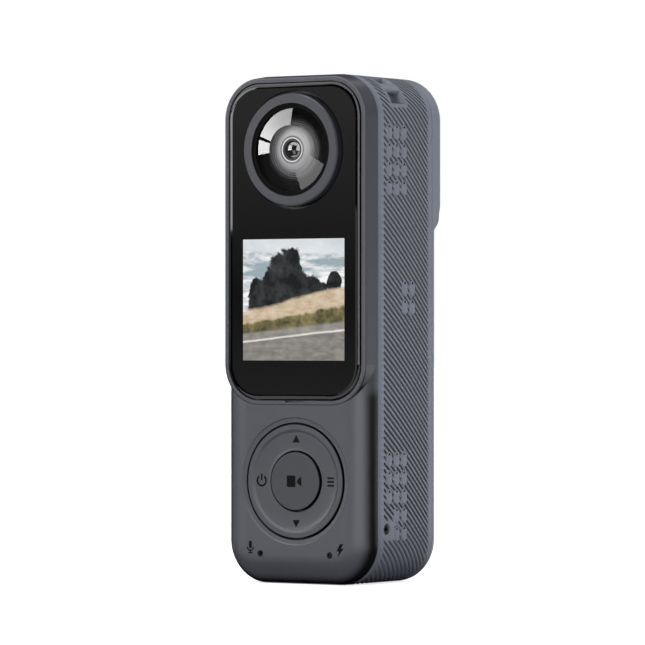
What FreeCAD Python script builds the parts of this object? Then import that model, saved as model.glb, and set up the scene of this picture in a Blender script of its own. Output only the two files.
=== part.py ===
import FreeCAD, Part
import math
import os
from FreeCAD import Vector

# Handheld vlogging camera, in millimetres.
# X points right as seen from the front, the front faces -Y, Z points up.
# The origin is the middle of the tripod socket's mouth, in the bottom face.

# Body
BODY_WIDTH = 33.5
BODY_HEIGHT = 98.2
BAND_DEPTH = 19.6
BAND_CORNER = 8.4
BAND_WALL = 1.6
LIP_THICK = 0.9
LIP_LENGTH = 1.2
LIP_GAP = 0.12
INSIDE_GAP = 0.3

# Front housing
GLASS_FORWARD = 4.0
RIM_BEHIND_GLASS = 0.35
FACE_BEHIND_GLASS = 0.45
MODULE_FLARE = 0.5
MODULE_EDGE = 0.35
FACE_ROUND_WIDTH = 5.5
FRONT_WALL = 1.6
FRONT_SIDE_WALL = 2.4

# Front glass and its seat
RIM_WIDTH = 0.9
GLASS_GAP = 0.15
GLASS_THICK = 1.1
GLASS_ROUND_WIDTH = 1.0
GLASS_ROUND_DEPTH = 0.45
SEAL_THICK = 0.15
LEDGE_THICK = 1.0
RIM_SLOT_WIDTH = 4.2
RIM_SLOT_HEIGHT = 0.32
RIM_SLOT_DEPTH = 0.6

# Front display
DISPLAY_SIDE_BORDER = 5.05
DISPLAY_BELOW_RING = 6.3
DISPLAY_ABOVE_MODULE_FOOT = 8.65
PANEL_MARGIN = 1.4
PANEL_LEDGE = 3.4
PANEL_THICK = 1.5
PANEL_GAP = 0.3

# Lens
LENS_BELOW_TOP = 14.5
LENS_RING_R = 10.85
LENS_RING_BORE = 8.98
LENS_RING_FORWARD = 1.2
LENS_GROOVE = 0.6
LENS_FLANGE_WIDTH = 0.9
LENS_FLANGE_THICK = 0.7
LENS_SEAT_GAP = 0.2
RETAINER_R = 8.1
RETAINER_DOWN = 0.3
COVER_GLASS_FLAT_R = 4.7
COVER_GLASS_DROP = 0.72
COVER_GLASS_THICK = 0.4
COVER_GLASS_PROUD = 0.1
HOOD_STEP_OUTER = 6.3
HOOD_STEP_INNER = 4.7
HOOD_STEPS = 6
HOOD_STEP_RISE = 0.06
HOOD_SLOPE = 0.45
HOOD_THICK = 1.3
NOSE_R = 4.6
NOSE_TOP_R = 2.75
NOSE_BELOW_GLASS = 0.45
NOSE_FOOT = 0.75
NOSE_BEVEL = 0.15
ELEMENT_RING_R = 2.0
ELEMENT_RING_PROUD = 0.08
ELEMENT_RING_BEVEL = 0.05
ELEMENT_R = 1.8
ELEMENT_DOWN = 0.05
ELEMENT_SAG = 0.5
ELEMENT_THICK = 0.6
LENS_FIT = 0.02
BARREL_R = 7.2
BARREL_WALL = 1.4
HOLDER_WALL = 1.4
BARREL_SHORT = 3.2
REAR_ELEMENTS = 3
REAR_ELEMENT_SAG = 1.0
REAR_ELEMENT_THICK = 0.8
REAR_ELEMENT_FIRST = 2.2
REAR_ELEMENT_LAST = 5.5
SENSOR_SIDE = 9.0
SENSOR_THICK = 1.2
SENSOR_POCKET_GAP = 0.15
SENSOR_POCKET_DEPTH = 2.0
FILTER_THICK = 0.3
FILTER_GAP = 0.2
SENSOR_BOARD_SIDE = 20.0
SENSOR_BOARD_THICK = 0.8
SENSOR_BOARD_CORNER = 1.0
CONNECTOR_HALF = 4.5
CONNECTOR_HEIGHT = 0.9
HEAT_PAD_HALF = 6.0
HEAT_PAD_THICK = 1.5
SPREADER_THICK = 1.0
SPREADER_GAP = 1.5
SPREADER_ABOVE_SHOULDER = 0.5
HOLDER_FLANGE_THICK = 1.0
LENS_EAR_R = 2.0
LENS_EAR_WALL = 0.9
LENS_EAR_ANGLE = 50.0

# Keys
KEY_Z = 19.9
RING_KEY_R = 10.95
RING_KEY_GAP = 0.4
RING_KEY_HOLE = 5.95
RING_LIP = 1.0
RING_LEVEL_DOWN = 0.05
RING_DISH = 0.5
RING_PLATE_THICK = 1.4
RING_FLANGE_WIDTH = 1.05
RING_FLANGE_THICK = 0.8
RING_ROCK_ROOM = 0.55
COUNTERSINK_WIDTH = 1.0
COUNTERSINK_DEPTH = 0.25
COUNTERSINK_BREAK = 0.75
COUNTERSINK_BREAK_DEPTH = 0.19
BUTTON_R = 5.6
BUTTON_PROUD = 0.4
BUTTON_FLANGE_WIDTH = 0.6
BUTTON_FLANGE_GAP = 0.45
BUTTON_FLANGE_THICK = 0.6
BUTTON_TRAVEL = 0.35
DOME_R = 1.75
DOME_HEIGHT = 0.35
DOME_EDGE = 0.05
DOME_CIRCLE = 8.1
KEY_BOARD_BEHIND_FACE = 4.55
KEY_BOARD_THICK = 0.8
KEY_BOARD_SIDE_GAP = 3.75
KEY_BOARD_TOP_GAP = 1.0
KEY_BOARD_BOTTOM = 3.2
KEY_BOARD_CORNER = 3.5
KEY_SCREW_IN = 1.5
KEY_SCREW_LOW = 3.4
KEY_SCREW_HIGH = 1.9
MODULE_ABOVE_KEYS = 2.25
CARRIER_WIDTH = 0.75
CARRIER_THICK = 0.6
CARRIER_GAP = 0.3
PLUNGER_R = 0.6
PLUNGER_GAP = 0.32
RIB_GAP = 0.4
KEY_BEVEL = 0.12
RING_INNER_LIP = 0.05
STEM_R = 1.2
STEM_TIP_R = 0.8
STEM_GAP = 0.02

# Holes in the lower face
FACE_HOLE_SIDE_GAP = 8.75
FACE_HOLE_Z = 5.85
FACE_HOLE_R = 0.5
PIPE_GAP = 0.03
PIPE_DOWN = 0.25
PIPE_LENGTH = 0.8
PIPE_FOOT_R = 1.2
PIPE_FOOT_THICK = 0.8
LED_LENGTH = 1.6
LED_WIDTH = 0.8
LED_THICK = 0.6
MICROPHONE_LENGTH = 3.5
MICROPHONE_WIDTH = 2.6
MICROPHONE_THICK = 1.0
MICROPHONE_GASKET_R = 1.3

# Lanyard eye, in the band's top right corner
EYE_BACK = 8.2
EYE_WIDTH = 5.2
EYE_HALF_ANGLE = 28.0
EYE_MID_ANGLE = 47.0
EYE_BRIDGE_ANGLE = 11.5
EYE_BRIDGE_THICK = 1.3
EYE_DEPTH = 2.8
EYE_WALL = 0.9
EYE_FILL = 0.165

# Hexagonal pads on the ribbed sides
PAD_WIDTH = 2.3
PAD_HEIGHT = 3.2
PAD_PROUD = 0.05
PAD_PITCH_Z = 3.58
PAD_FIRST_BACK = 4.1
PAD_PITCH_Y = 2.65
PAD_MIDDLE_BACK = 9.7
PAD_UPPER_BELOW_TOP = 9.8
PAD_MIDDLE_BELOW_TOP = 39.7
PAD_LOWER_TOP = 25.6

# Side screws
SIDE_SCREW_BACK = 3.15
SIDE_SCREW_Z = 10.8
SIDE_SCREW_RECESS_R = 1.15
SIDE_SCREW_HEAD_R = 0.95
SIDE_SCREW_HEAD = 0.6
SIDE_SCREW_SHAFT_R = 0.6
SIDE_SCREW_LENGTH = 2.7
SIDE_SCREW_DOWN = 0.25
SCREW_GAP = 0.05
LUG_HALF = 2.5
LUG_BEHIND_SCREW = 1.5
LUG_THICK = 1.6
SIDE_SCREW_SOCKET_R = 0.48
SIDE_SCREW_SOCKET_DEPTH = 0.42

# Inner screws
INNER_SCREW_SHAFT_R = 0.6
INNER_HEAD_R = 1.2
INNER_HEAD_THICK = 0.7
BOARD_SCREW_GRIP = 3.0
KEY_SCREW_HEAD_R = 1.1
KEY_SCREW_HEAD_THICK = 0.6
KEY_SCREW_GRIP = 2.2
CROSS_SLOT = 0.24
CROSS_SPAN = 1.2

# Rear cover
COVER_DEPTH = 2.5
COVER_ROUND = 2.4
COVER_WALL = 1.5
BUMP_DEPTH = 4.4
BUMP_ROUND = 2.0
BUMP_SHOULDER_BELOW_LENS = 7.8
BUMP_SLOPE_HEIGHT = 4.9
BUMP_SIDE_SWOOP = 4.0
BUMP_CURVE_PULL = 0.45

# Rear display
REAR_GLASS_SIDE_GAP = 3.35
REAR_GLASS_LOW = 12.0
REAR_GLASS_BELOW_BUMP = 5.0
REAR_GLASS_CORNER = 3.0
REAR_GLASS_THICK = 0.9
REAR_GLASS_ROUND = 0.5
REAR_GLASS_ROUND_DEPTH = 0.3
REAR_PANEL_MARGIN_X = 1.0
REAR_PANEL_MARGIN_Z = 2.2
REAR_PANEL_THICK = 1.5
PANEL_CORNER = 0.5
REAR_FLEX_FROM_BOARD_EDGE = 3.7
REAR_FLEX_WIDTH = 2.8
REAR_FLEX_RISE = 3.0

# Boards and battery
MAIN_BOARD_AHEAD_OF_REAR = 4.1
MAIN_BOARD_THICK = 1.0
MAIN_BOARD_SIDE_GAP = 3.75
MAIN_BOARD_BELOW_CARD = 9.3
MAIN_BOARD_TOP_GAP = 3.2
MAIN_BOARD_CORNER = 4.0
LENS_BOARD_GAP = 0.5
BATTERY_SIDE_GAP = 3.75
BATTERY_LOW = 8.6
BATTERY_TOP_GAP = 2.4
BATTERY_FRONT_GAP = 0.9
BATTERY_DEPTH = 13.4
BATTERY_EDGE = 1.6
BATTERY_BOARD_HALF = 11.0
BATTERY_BOARD_DEPTH = 6.0
BATTERY_BOARD_THICK = 0.9
FOAM_THICK = 0.8
FOAM_SIDE_MARGIN = 2.9
FOAM_LOW_MARGIN = 4.0
FOAM_HIGH_MARGIN = 6.0
LEAD_PLACES = (-7.0, -5.2)
LEAD_Y = 1.2
LEAD_R = 0.4
LEAD_BEND = 1.8
LEAD_ABOVE_BOARD_EDGE = 1.3
POST_R = 1.35
POST_BORE_DEPTH = 4.0
POST_IN = 0.9
POST_LOW = 1.5
POST_MIDDLE = 12.6
POST_HIGH = 3.8
SHIELD_HALF = 8.5
SHIELD_LOW = 3.2
SHIELD_LENGTH = 15.0
SHIELD_HEIGHT = 1.6
SHIELD_WALL = 0.2
CHIP_THICK = 1.1
CHIP_MARGIN = 0.8
CHIPS = [(-7.5, 2.5, 2.0, 12.0), (3.5, 7.8, 0.2, 6.0), (3.5, 7.8, 7.2, 13.0)]
ANTENNA_LEFT = -8.0
ANTENNA_RIGHT = 4.0
ANTENNA_DEPTH = 5.8
ANTENNA_GAP = 0.2
ANTENNA_THICK = 0.8
SPEAKER_WIDTH = 4.0
SPEAKER_HEIGHT = 9.2
SPEAKER_DEPTH = 8.6
SPEAKER_DOWN = 0.7
SPEAKER_CORNER = 0.8
SPEAKER_BOARD_GAP = 2.8
FRAME_PLATE_THICK = 1.0
FRAME_GAP = 0.1
FLEX_THICK = 0.15
FLEX_STAND_OFF = 0.25
FLEX_WIDTH = 3.0
KEY_FLEX_DOWN = 7.5
KEY_FLEX_TURN = 1.0
DISPLAY_FLEX_X = 2.4

# Ports and their door, in the left side
PORT_FRONT_MARGIN = 1.0
PORT_REAR_MARGIN = 1.1
PORT_CARD_MARGIN = 0.6
PORT_USB_MARGIN = 0.63
DOOR_MARGIN = 1.0
DOOR_GAP = 0.1
DOOR_THICK = 1.2
DOOR_KNUCKLE_ROOM = 0.4
DOOR_PIN_R = 0.33
DOOR_PIN_CLEAR = 0.05
DOOR_PIN_SEAT = 1.0
DOOR_HINGE_FORWARD = 1.75
DOOR_EDGE = 0.3
DOOR_NOTCH_R = 3.2
DOOR_NOTCH_OFF = 1.9
DOOR_NOTCH_DEPTH = 0.3
PORT_BOSS_MARGIN = 1.0
PORT_BOSS_THICK = 1.3
GASKET_GAP = 0.3
GASKET_WALL = 0.9
GASKET_DEPTH = 0.85
USB_WIDTH = 8.94
USB_HEIGHT = 3.2
USB_LENGTH = 7.3
USB_WALL = 0.3
USB_BELOW_LENS = 10.7
USB_MOUTH_IN = 2.65
USB_BACK_WALL = 1.2
USB_TONGUE_THICK = 0.7
USB_TONGUE_WIDTH = 6.6
USB_TONGUE_DOWN = 0.8
CARD_LENGTH = 15.0
CARD_WIDTH = 11.0
CARD_THICK = 1.0
CARD_BELOW_USB = 11.7
CARD_END_IN = 2.75
CARD_PUSH = 0.8
CARD_CLEAR = 0.15
SOCKET_WALL = 0.2
SOCKET_MOUTH = 1.4
SOCKET_END = 1.2
CARD_NOTCH_LENGTH = 6.4
CARD_NOTCH = 1.0
CARD_GRIP_IN = 0.5
CARD_GRIP_WIDTH = 0.5
CARD_GRIP_DEPTH = 0.2
CARD_GRIP_MARGIN = 1.5

# Tripod socket, quarter inch with 20 threads to the inch
TRIPOD_BORE_R = 2.55
TRIPOD_DEPTH = 5.5
TRIPOD_INSERT_R = 4.2
TRIPOD_INSERT_HEIGHT = 6.6
TRIPOD_FLANGE_R = 5.0
TRIPOD_FLANGE_THICK = 1.0
TRIPOD_BOSS_WALL = 1.2

# Levels along Y that follow from the sizes above
BAND_FRONT = -BAND_DEPTH / 2
BAND_REAR = BAND_DEPTH / 2
GLASS_LEVEL = BAND_FRONT - GLASS_FORWARD
RIM_LEVEL = GLASS_LEVEL + RIM_BEHIND_GLASS
FACE_LEVEL = GLASS_LEVEL + FACE_BEHIND_GLASS
GLASS_BACK = GLASS_LEVEL + GLASS_THICK
LEDGE_FRONT = GLASS_BACK + SEAL_THICK
LEDGE_BACK = LEDGE_FRONT + LEDGE_THICK
FACE_INSIDE = FACE_LEVEL + FRONT_WALL
COVER_LEVEL = BAND_REAR + COVER_DEPTH
BUMP_LEVEL = BAND_REAR + BUMP_DEPTH
COVER_INSIDE = COVER_LEVEL - COVER_WALL
PANEL_FRONT = LEDGE_FRONT
PANEL_BACK = PANEL_FRONT + PANEL_THICK
FRAME_FRONT = PANEL_BACK + INSIDE_GAP
FRAME_BACK = FRAME_FRONT + FRAME_PLATE_THICK
RING_LEVEL = GLASS_LEVEL - LENS_RING_FORWARD
MAIN_BOARD_Y = BAND_REAR - MAIN_BOARD_AHEAD_OF_REAR
MAIN_BOARD_BACK = MAIN_BOARD_Y + MAIN_BOARD_THICK
SPREADER_BACK = BUMP_LEVEL - COVER_WALL - SPREADER_GAP
SPREADER_FRONT = SPREADER_BACK - SPREADER_THICK
SENSOR_BOARD_BACK = SPREADER_FRONT - HEAT_PAD_THICK
LENS_END = SENSOR_BOARD_BACK - SENSOR_BOARD_THICK
KEY_LEVEL = FACE_LEVEL + RING_LEVEL_DOWN
KEY_PLATE_BACK = KEY_LEVEL + RING_DISH + RING_PLATE_THICK
KEY_FLANGE_FRONT = FACE_INSIDE + RING_ROCK_ROOM
KEY_FLANGE_BACK = KEY_FLANGE_FRONT + RING_FLANGE_THICK
KEY_BOARD_FRONT = FACE_LEVEL + KEY_BOARD_BEHIND_FACE
KEY_BOARD_BACK = KEY_BOARD_FRONT + KEY_BOARD_THICK
DOME_TOP = KEY_BOARD_FRONT - DOME_HEIGHT
BATTERY_FRONT = KEY_BOARD_BACK + BATTERY_FRONT_GAP
EYE_CENTRE_Y = BAND_FRONT + EYE_BACK
PORT_WINDOW_FRONT = MAIN_BOARD_Y - USB_HEIGHT - PORT_FRONT_MARGIN
PORT_WINDOW_REAR = MAIN_BOARD_Y + PORT_REAR_MARGIN
DOOR_KNUCKLE_R = DOOR_THICK / 2
DOOR_PIN_Y = PORT_WINDOW_FRONT - DOOR_HINGE_FORWARD

# Places along X
HALF_WIDTH = BODY_WIDTH / 2
DOOR_PIN_X = -HALF_WIDTH + DOOR_KNUCKLE_R
DISPLAY_WIDTH = BODY_WIDTH - 2 * DISPLAY_SIDE_BORDER
FACE_HOLE_X = HALF_WIDTH - FACE_HOLE_SIDE_GAP
KEY_BOARD_HALF = HALF_WIDTH - KEY_BOARD_SIDE_GAP
MAIN_BOARD_HALF = HALF_WIDTH - MAIN_BOARD_SIDE_GAP
BATTERY_HALF = HALF_WIDTH - BATTERY_SIDE_GAP
USB_MOUTH_X = -HALF_WIDTH + USB_MOUTH_IN
CARD_END_X = -HALF_WIDTH + CARD_END_IN
POST_X = MAIN_BOARD_HALF - POST_IN
REAR_FLEX_X = MAIN_BOARD_HALF - REAR_FLEX_FROM_BOARD_EDGE

# Places along Z, up from the keys and down from the lens
KEY_TOP = KEY_Z + RING_KEY_R + RING_KEY_GAP + COUNTERSINK_WIDTH
MODULE_BOTTOM = KEY_TOP + MODULE_ABOVE_KEYS
KEY_BOARD_TOP = MODULE_BOTTOM - KEY_BOARD_TOP_GAP
KEY_FLEX_START = KEY_BOARD_TOP - KEY_FLEX_DOWN
LENS_Z = BODY_HEIGHT - LENS_BELOW_TOP
DISPLAY_LOW = MODULE_BOTTOM + DISPLAY_ABOVE_MODULE_FOOT
DISPLAY_HIGH = LENS_Z - LENS_RING_R - DISPLAY_BELOW_RING
USB_CENTRE_Z = LENS_Z - USB_BELOW_LENS
CARD_CENTRE_Z = USB_CENTRE_Z - CARD_BELOW_USB
PORT_WINDOW_LOW = CARD_CENTRE_Z - CARD_WIDTH / 2 - PORT_CARD_MARGIN
PORT_WINDOW_HIGH = USB_CENTRE_Z + USB_WIDTH / 2 + PORT_USB_MARGIN
MAIN_BOARD_LOW = CARD_CENTRE_Z - MAIN_BOARD_BELOW_CARD
MAIN_BOARD_HIGH = BODY_HEIGHT - MAIN_BOARD_TOP_GAP
BATTERY_HIGH = MAIN_BOARD_LOW - BATTERY_TOP_GAP
BUMP_SHOULDER_Z = LENS_Z - BUMP_SHOULDER_BELOW_LENS
BUMP_FOOT_Z = BUMP_SHOULDER_Z - BUMP_SLOPE_HEIGHT
REAR_GLASS_HIGH = BUMP_FOOT_Z - REAR_GLASS_BELOW_BUMP

TINY = 0.001


# Plane outlines are tuples: lowest x, highest x, lowest z, highest z and corner radius.
BAND_OUTLINE = (-HALF_WIDTH, HALF_WIDTH, 0.0, BODY_HEIGHT, BAND_CORNER)


def grown(outline, by):
    """The outline moved outwards by a distance, or inwards when it is negative."""
    x0, x1, z0, z1, radius = outline
    return (x0 - by, x1 + by, z0 - by, z1 + by, max(radius + by, 0.5))


def rounded_wire(outline, y):
    """Straight sides joined by quarter arcs, in a plane of constant y."""
    x0, x1, z0, z1, radius = outline
    corners = [
        (x1 - radius, z1 - radius, 0),
        (x0 + radius, z1 - radius, 90),
        (x0 + radius, z0 + radius, 180),
        (x1 - radius, z0 + radius, 270),
    ]
    arcs = []
    for centre_x, centre_z, start in corners:
        points = []
        for turn in (0, 45, 90):
            angle = math.radians(start + turn)
            x = centre_x + radius * math.cos(angle)
            z = centre_z + radius * math.sin(angle)
            points.append(Vector(x, y, z))
        arcs.append(points)
    edges = []
    for index, points in enumerate(arcs):
        following = arcs[(index + 1) % 4]
        edges.append(Part.Arc(*points).toShape())
        edges.append(Part.LineSegment(points[2], following[0]).toShape())
    return Part.Wire(edges)


def plate(outline, y0, y1):
    """A flat plate of that outline between two levels."""
    return Part.Face(rounded_wire(outline, y0)).extrude(Vector(0, y1 - y0, 0))


def frame(outline, border, y0, y1):
    """A plate with a window that leaves a border of even width."""
    window = plate(grown(outline, -border), y0 - TINY, y1 + TINY)
    return plate(outline, y0, y1).cut(window)


def pillow(outline, y_back, y_front, round_width, round_depth):
    """A plate whose front edge is rounded as a quarter ellipse."""
    forward = 1 if y_front > y_back else -1
    y_round = y_front - forward * round_depth
    wires = []
    for step in range(9):
        angle = math.radians(90 * step / 8)
        inset = round_width * (1 - math.cos(angle))
        level = y_round + forward * round_depth * math.sin(angle)
        wires.append(rounded_wire(grown(outline, -inset), level))
    rounded = Part.makeLoft(wires, True, False)
    if abs(y_round - y_back) < TINY:
        return rounded
    return plate(outline, y_back, y_round).fuse(rounded).removeSplitter()


def box(x0, x1, y0, y1, z0, z1):
    return Part.makeBox(x1 - x0, y1 - y0, z1 - z0, Vector(x0, y0, z0))


def disc(x, z, radius, y0, y1):
    """A cylinder along Y."""
    return Part.makeCylinder(radius, y1 - y0, Vector(x, y0, z), Vector(0, 1, 0))


def ring(x, z, outer, inner, y0, y1):
    return disc(x, z, outer, y0, y1).cut(disc(x, z, inner, y0 - TINY, y1 + TINY))


def turned(points, x, z):
    """A closed profile of radius and level, turned about an axis along Y."""
    corners = [Vector(radius, level, 0) for radius, level in points]
    corners.append(corners[0])
    face = Part.Face(Part.makePolygon(corners))
    solid = face.revolve(Vector(0, 0, 0), Vector(0, 1, 0), 360)
    solid.translate(Vector(x, 0, z))
    return solid


def dome(x, z, radius, sag, thick, y_top):
    """A shallow spherical cap shell or lens that bulges towards the front."""
    sphere_r = (radius * radius + sag * sag) / (2 * sag)
    top = Part.makeSphere(sphere_r, Vector(x, y_top + sphere_r, z))
    body = disc(x, z, radius, y_top - TINY, y_top + sag + thick)
    return top.common(body)


def screw_hole(x, z, y0, y1):
    """Bore for one of the inner screws."""
    return disc(x, z, INNER_SCREW_SHAFT_R + SCREW_GAP, y0, y1)


def group(shapes):
    return Part.makeCompound(shapes)


def one(shape):
    """The single solid of a shape that boolean work left in a compound."""
    return shape.Solids[0] if len(shape.Solids) == 1 else shape


def screw(x, z, y_head, head_r, head_thick, shaft_r, length, forward=-1):
    """A pan screw along Y with a cross slot; its shaft points forward or back."""
    top = y_head - forward * head_thick
    end = y_head + forward * length
    head = disc(x, z, head_r, min(y_head, top), max(y_head, top))
    shaft = disc(x, z, shaft_r, min(y_head, end), max(y_head, end))
    solid = head.fuse(shaft)
    slot_low = min(top, top + forward * head_thick / 2)
    slot_high = max(top, top + forward * head_thick / 2)
    long_half = head_r * CROSS_SPAN / 2
    thin_half = CROSS_SLOT / 2
    solid = solid.cut(box(x - long_half, x + long_half, slot_low, slot_high, z - thin_half, z + thin_half))
    solid = solid.cut(box(x - thin_half, x + thin_half, slot_low, slot_high, z - long_half, z + long_half))
    return solid.removeSplitter()


MODULE_OUTLINE = (
    -HALF_WIDTH + MODULE_FLARE,
    HALF_WIDTH - MODULE_FLARE,
    MODULE_BOTTOM,
    BODY_HEIGHT - MODULE_FLARE,
    BAND_CORNER - MODULE_FLARE,
)
GLASS_OUTLINE = grown(MODULE_OUTLINE, -RIM_WIDTH - GLASS_GAP)
SEAT_OUTLINE = grown(MODULE_OUTLINE, -RIM_WIDTH)
CAVITY_OUTLINE = grown(BAND_OUTLINE, -BAND_WALL)
LIP_OUTLINE = grown(CAVITY_OUTLINE, -LIP_GAP)
UPPER_CAVITY = grown(grown(MODULE_OUTLINE, MODULE_FLARE), -BAND_WALL - LIP_GAP - LIP_THICK)
FRAME_OUTLINE = grown(UPPER_CAVITY, -FRAME_GAP)
PANEL_OUTLINE = (
    -DISPLAY_WIDTH / 2 - PANEL_MARGIN,
    DISPLAY_WIDTH / 2 + PANEL_MARGIN,
    DISPLAY_LOW - PANEL_LEDGE,
    DISPLAY_HIGH + PANEL_MARGIN,
    PANEL_CORNER,
)
REAR_GLASS_OUTLINE = (
    -HALF_WIDTH + REAR_GLASS_SIDE_GAP,
    HALF_WIDTH - REAR_GLASS_SIDE_GAP,
    REAR_GLASS_LOW,
    REAR_GLASS_HIGH,
    REAR_GLASS_CORNER,
)
REAR_PANEL_OUTLINE = (
    REAR_GLASS_OUTLINE[0] + REAR_PANEL_MARGIN_X,
    REAR_GLASS_OUTLINE[1] - REAR_PANEL_MARGIN_X,
    REAR_GLASS_LOW + REAR_PANEL_MARGIN_Z,
    REAR_GLASS_HIGH - REAR_PANEL_MARGIN_Z,
    PANEL_CORNER,
)
KEY_BOARD_OUTLINE = (-KEY_BOARD_HALF, KEY_BOARD_HALF, KEY_BOARD_BOTTOM, KEY_BOARD_TOP, KEY_BOARD_CORNER)
KEY_SCREW_X = KEY_BOARD_HALF - KEY_SCREW_IN
KEY_SCREW_LEVELS = (KEY_BOARD_BOTTOM + KEY_SCREW_LOW, KEY_BOARD_TOP - KEY_SCREW_HIGH)
KEY_SCREWS = [(side * KEY_SCREW_X, z) for side in (-1, 1) for z in KEY_SCREW_LEVELS]
BOARD_POSTS = [
    (-POST_X, MAIN_BOARD_LOW + POST_LOW),
    (POST_X, MAIN_BOARD_LOW + POST_MIDDLE),
    (-POST_X, MAIN_BOARD_HIGH - POST_HIGH),
]
SIDE_SCREW_Y = BAND_FRONT + SIDE_SCREW_BACK


def front_wall_shell():
    """Outer form of the front: pillow-edged face with the raised glass module on it."""
    face = pillow(BAND_OUTLINE, BAND_FRONT, FACE_LEVEL, FACE_ROUND_WIDTH, BAND_FRONT - FACE_LEVEL)
    edge_start = RIM_LEVEL + MODULE_EDGE
    share = MODULE_EDGE / (BAND_FRONT - RIM_LEVEL)
    back = rounded_wire(grown(MODULE_OUTLINE, MODULE_FLARE), BAND_FRONT)
    front = rounded_wire(grown(MODULE_OUTLINE, MODULE_FLARE * share), edge_start)
    module = Part.makeLoft([back, front], True, True)
    corner = pillow(
        grown(MODULE_OUTLINE, MODULE_FLARE * share), edge_start, RIM_LEVEL, MODULE_EDGE, MODULE_EDGE
    )
    return face.fuse(module).fuse(corner)


def front_housing():
    lower_cavity = (
        -HALF_WIDTH + FRONT_SIDE_WALL,
        HALF_WIDTH - FRONT_SIDE_WALL,
        FRONT_SIDE_WALL,
        MODULE_BOTTOM + FRONT_SIDE_WALL,
        BAND_CORNER - FRONT_SIDE_WALL,
    )
    shape = front_wall_shell()
    shape = shape.cut(plate(lower_cavity, BAND_FRONT + TINY, FACE_INSIDE))
    shape = shape.cut(plate(UPPER_CAVITY, BAND_FRONT + TINY, LEDGE_BACK))
    shape = shape.cut(plate(SEAT_OUTLINE, LEDGE_FRONT, RIM_LEVEL - 1))
    shape = shape.cut(plate(grown(PANEL_OUTLINE, PANEL_GAP), LEDGE_BACK + TINY, LEDGE_FRONT - TINY))
    shape = shape.cut(disc(0, LENS_Z, LENS_RING_R + LENS_SEAT_GAP, RIM_LEVEL, BAND_FRONT))
    lip_end = BAND_FRONT + LIP_LENGTH
    shape = shape.fuse(frame(LIP_OUTLINE, LIP_THICK, BAND_FRONT - LEDGE_THICK, lip_end))
    for side in (-1, 1):
        inner = side * (HALF_WIDTH - BAND_WALL - LIP_GAP)
        outer = inner - side * LUG_THICK
        lug_end = SIDE_SCREW_Y + LUG_BEHIND_SCREW
        lug = box(
            min(inner, outer), max(inner, outer),
            BAND_FRONT - LEDGE_THICK, lug_end,
            SIDE_SCREW_Z - LUG_HALF, SIDE_SCREW_Z + LUG_HALF,
        )
        shape = shape.fuse(lug)
        bore = Part.makeCylinder(
            SIDE_SCREW_SHAFT_R + SCREW_GAP, LUG_THICK * 3,
            Vector(min(inner, outer) - LUG_THICK, SIDE_SCREW_Y, SIDE_SCREW_Z), Vector(1, 0, 0),
        )
        shape = shape.cut(bore)
    hole_r = RING_KEY_R + RING_KEY_GAP
    shape = shape.cut(disc(0, KEY_Z, hole_r, FACE_LEVEL - 1, FACE_INSIDE + 1))
    sink = turned(
        [
            (0, FACE_LEVEL - TINY),
            (hole_r + COUNTERSINK_WIDTH, FACE_LEVEL - TINY),
            (hole_r + COUNTERSINK_BREAK, FACE_LEVEL + COUNTERSINK_BREAK_DEPTH),
            (hole_r, FACE_LEVEL + COUNTERSINK_DEPTH),
            (0, FACE_LEVEL + COUNTERSINK_DEPTH),
        ],
        0, KEY_Z,
    )
    shape = shape.cut(sink)
    slot_top = MODULE_BOTTOM + RIM_WIDTH
    rim_slot = box(
        -RIM_SLOT_WIDTH / 2, RIM_SLOT_WIDTH / 2,
        RIM_LEVEL - 1, RIM_LEVEL + RIM_SLOT_DEPTH,
        slot_top - RIM_SLOT_HEIGHT, slot_top + TINY,
    )
    shape = shape.cut(rim_slot)
    for side in (-1, 1):
        hole = disc(side * FACE_HOLE_X, FACE_HOLE_Z, FACE_HOLE_R, FACE_LEVEL - 1, FACE_INSIDE + 1)
        shape = shape.cut(hole)
    for x, z in KEY_SCREWS:
        post = disc(x, z, POST_R, FACE_INSIDE - TINY, KEY_BOARD_FRONT)
        shape = shape.fuse(post)
        shape = shape.cut(screw_hole(x, z, FACE_INSIDE, KEY_BOARD_FRONT + 1))
    return one(shape.removeSplitter())


def pad_places():
    """Level and height of each pad's centre: groups of first column, columns, top and rows."""
    groups = [
        (PAD_FIRST_BACK, 3, BODY_HEIGHT - PAD_UPPER_BELOW_TOP, 4),
        (PAD_MIDDLE_BACK, 2, BODY_HEIGHT - PAD_MIDDLE_BELOW_TOP, 2),
        (PAD_FIRST_BACK, 3, PAD_LOWER_TOP, 3),
        (PAD_FIRST_BACK + PAD_PITCH_Y, 2, PAD_LOWER_TOP - 3 * PAD_PITCH_Z, 2),
    ]
    for first_back, columns, top, rows in groups:
        for row in range(rows):
            for column in range(columns):
                y = BAND_FRONT + first_back + column * PAD_PITCH_Y
                yield y, top - row * PAD_PITCH_Z - PAD_HEIGHT / 2


def pad(side, y, z):
    """One hexagonal pad, with its points up and down, on the left or right side."""
    half = PAD_WIDTH / 2
    shoulder = PAD_HEIGHT / 2 - half * math.tan(math.radians(30))
    x = side * (HALF_WIDTH - BAND_WALL / 2)
    points = [
        Vector(x, y, z + PAD_HEIGHT / 2),
        Vector(x, y + half, z + shoulder),
        Vector(x, y + half, z - shoulder),
        Vector(x, y, z - PAD_HEIGHT / 2),
        Vector(x, y - half, z - shoulder),
        Vector(x, y - half, z + shoulder),
    ]
    points.append(points[0])
    return Part.Face(Part.makePolygon(points)).extrude(Vector(side * (BAND_WALL / 2 + PAD_PROUD), 0, 0))


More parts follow.
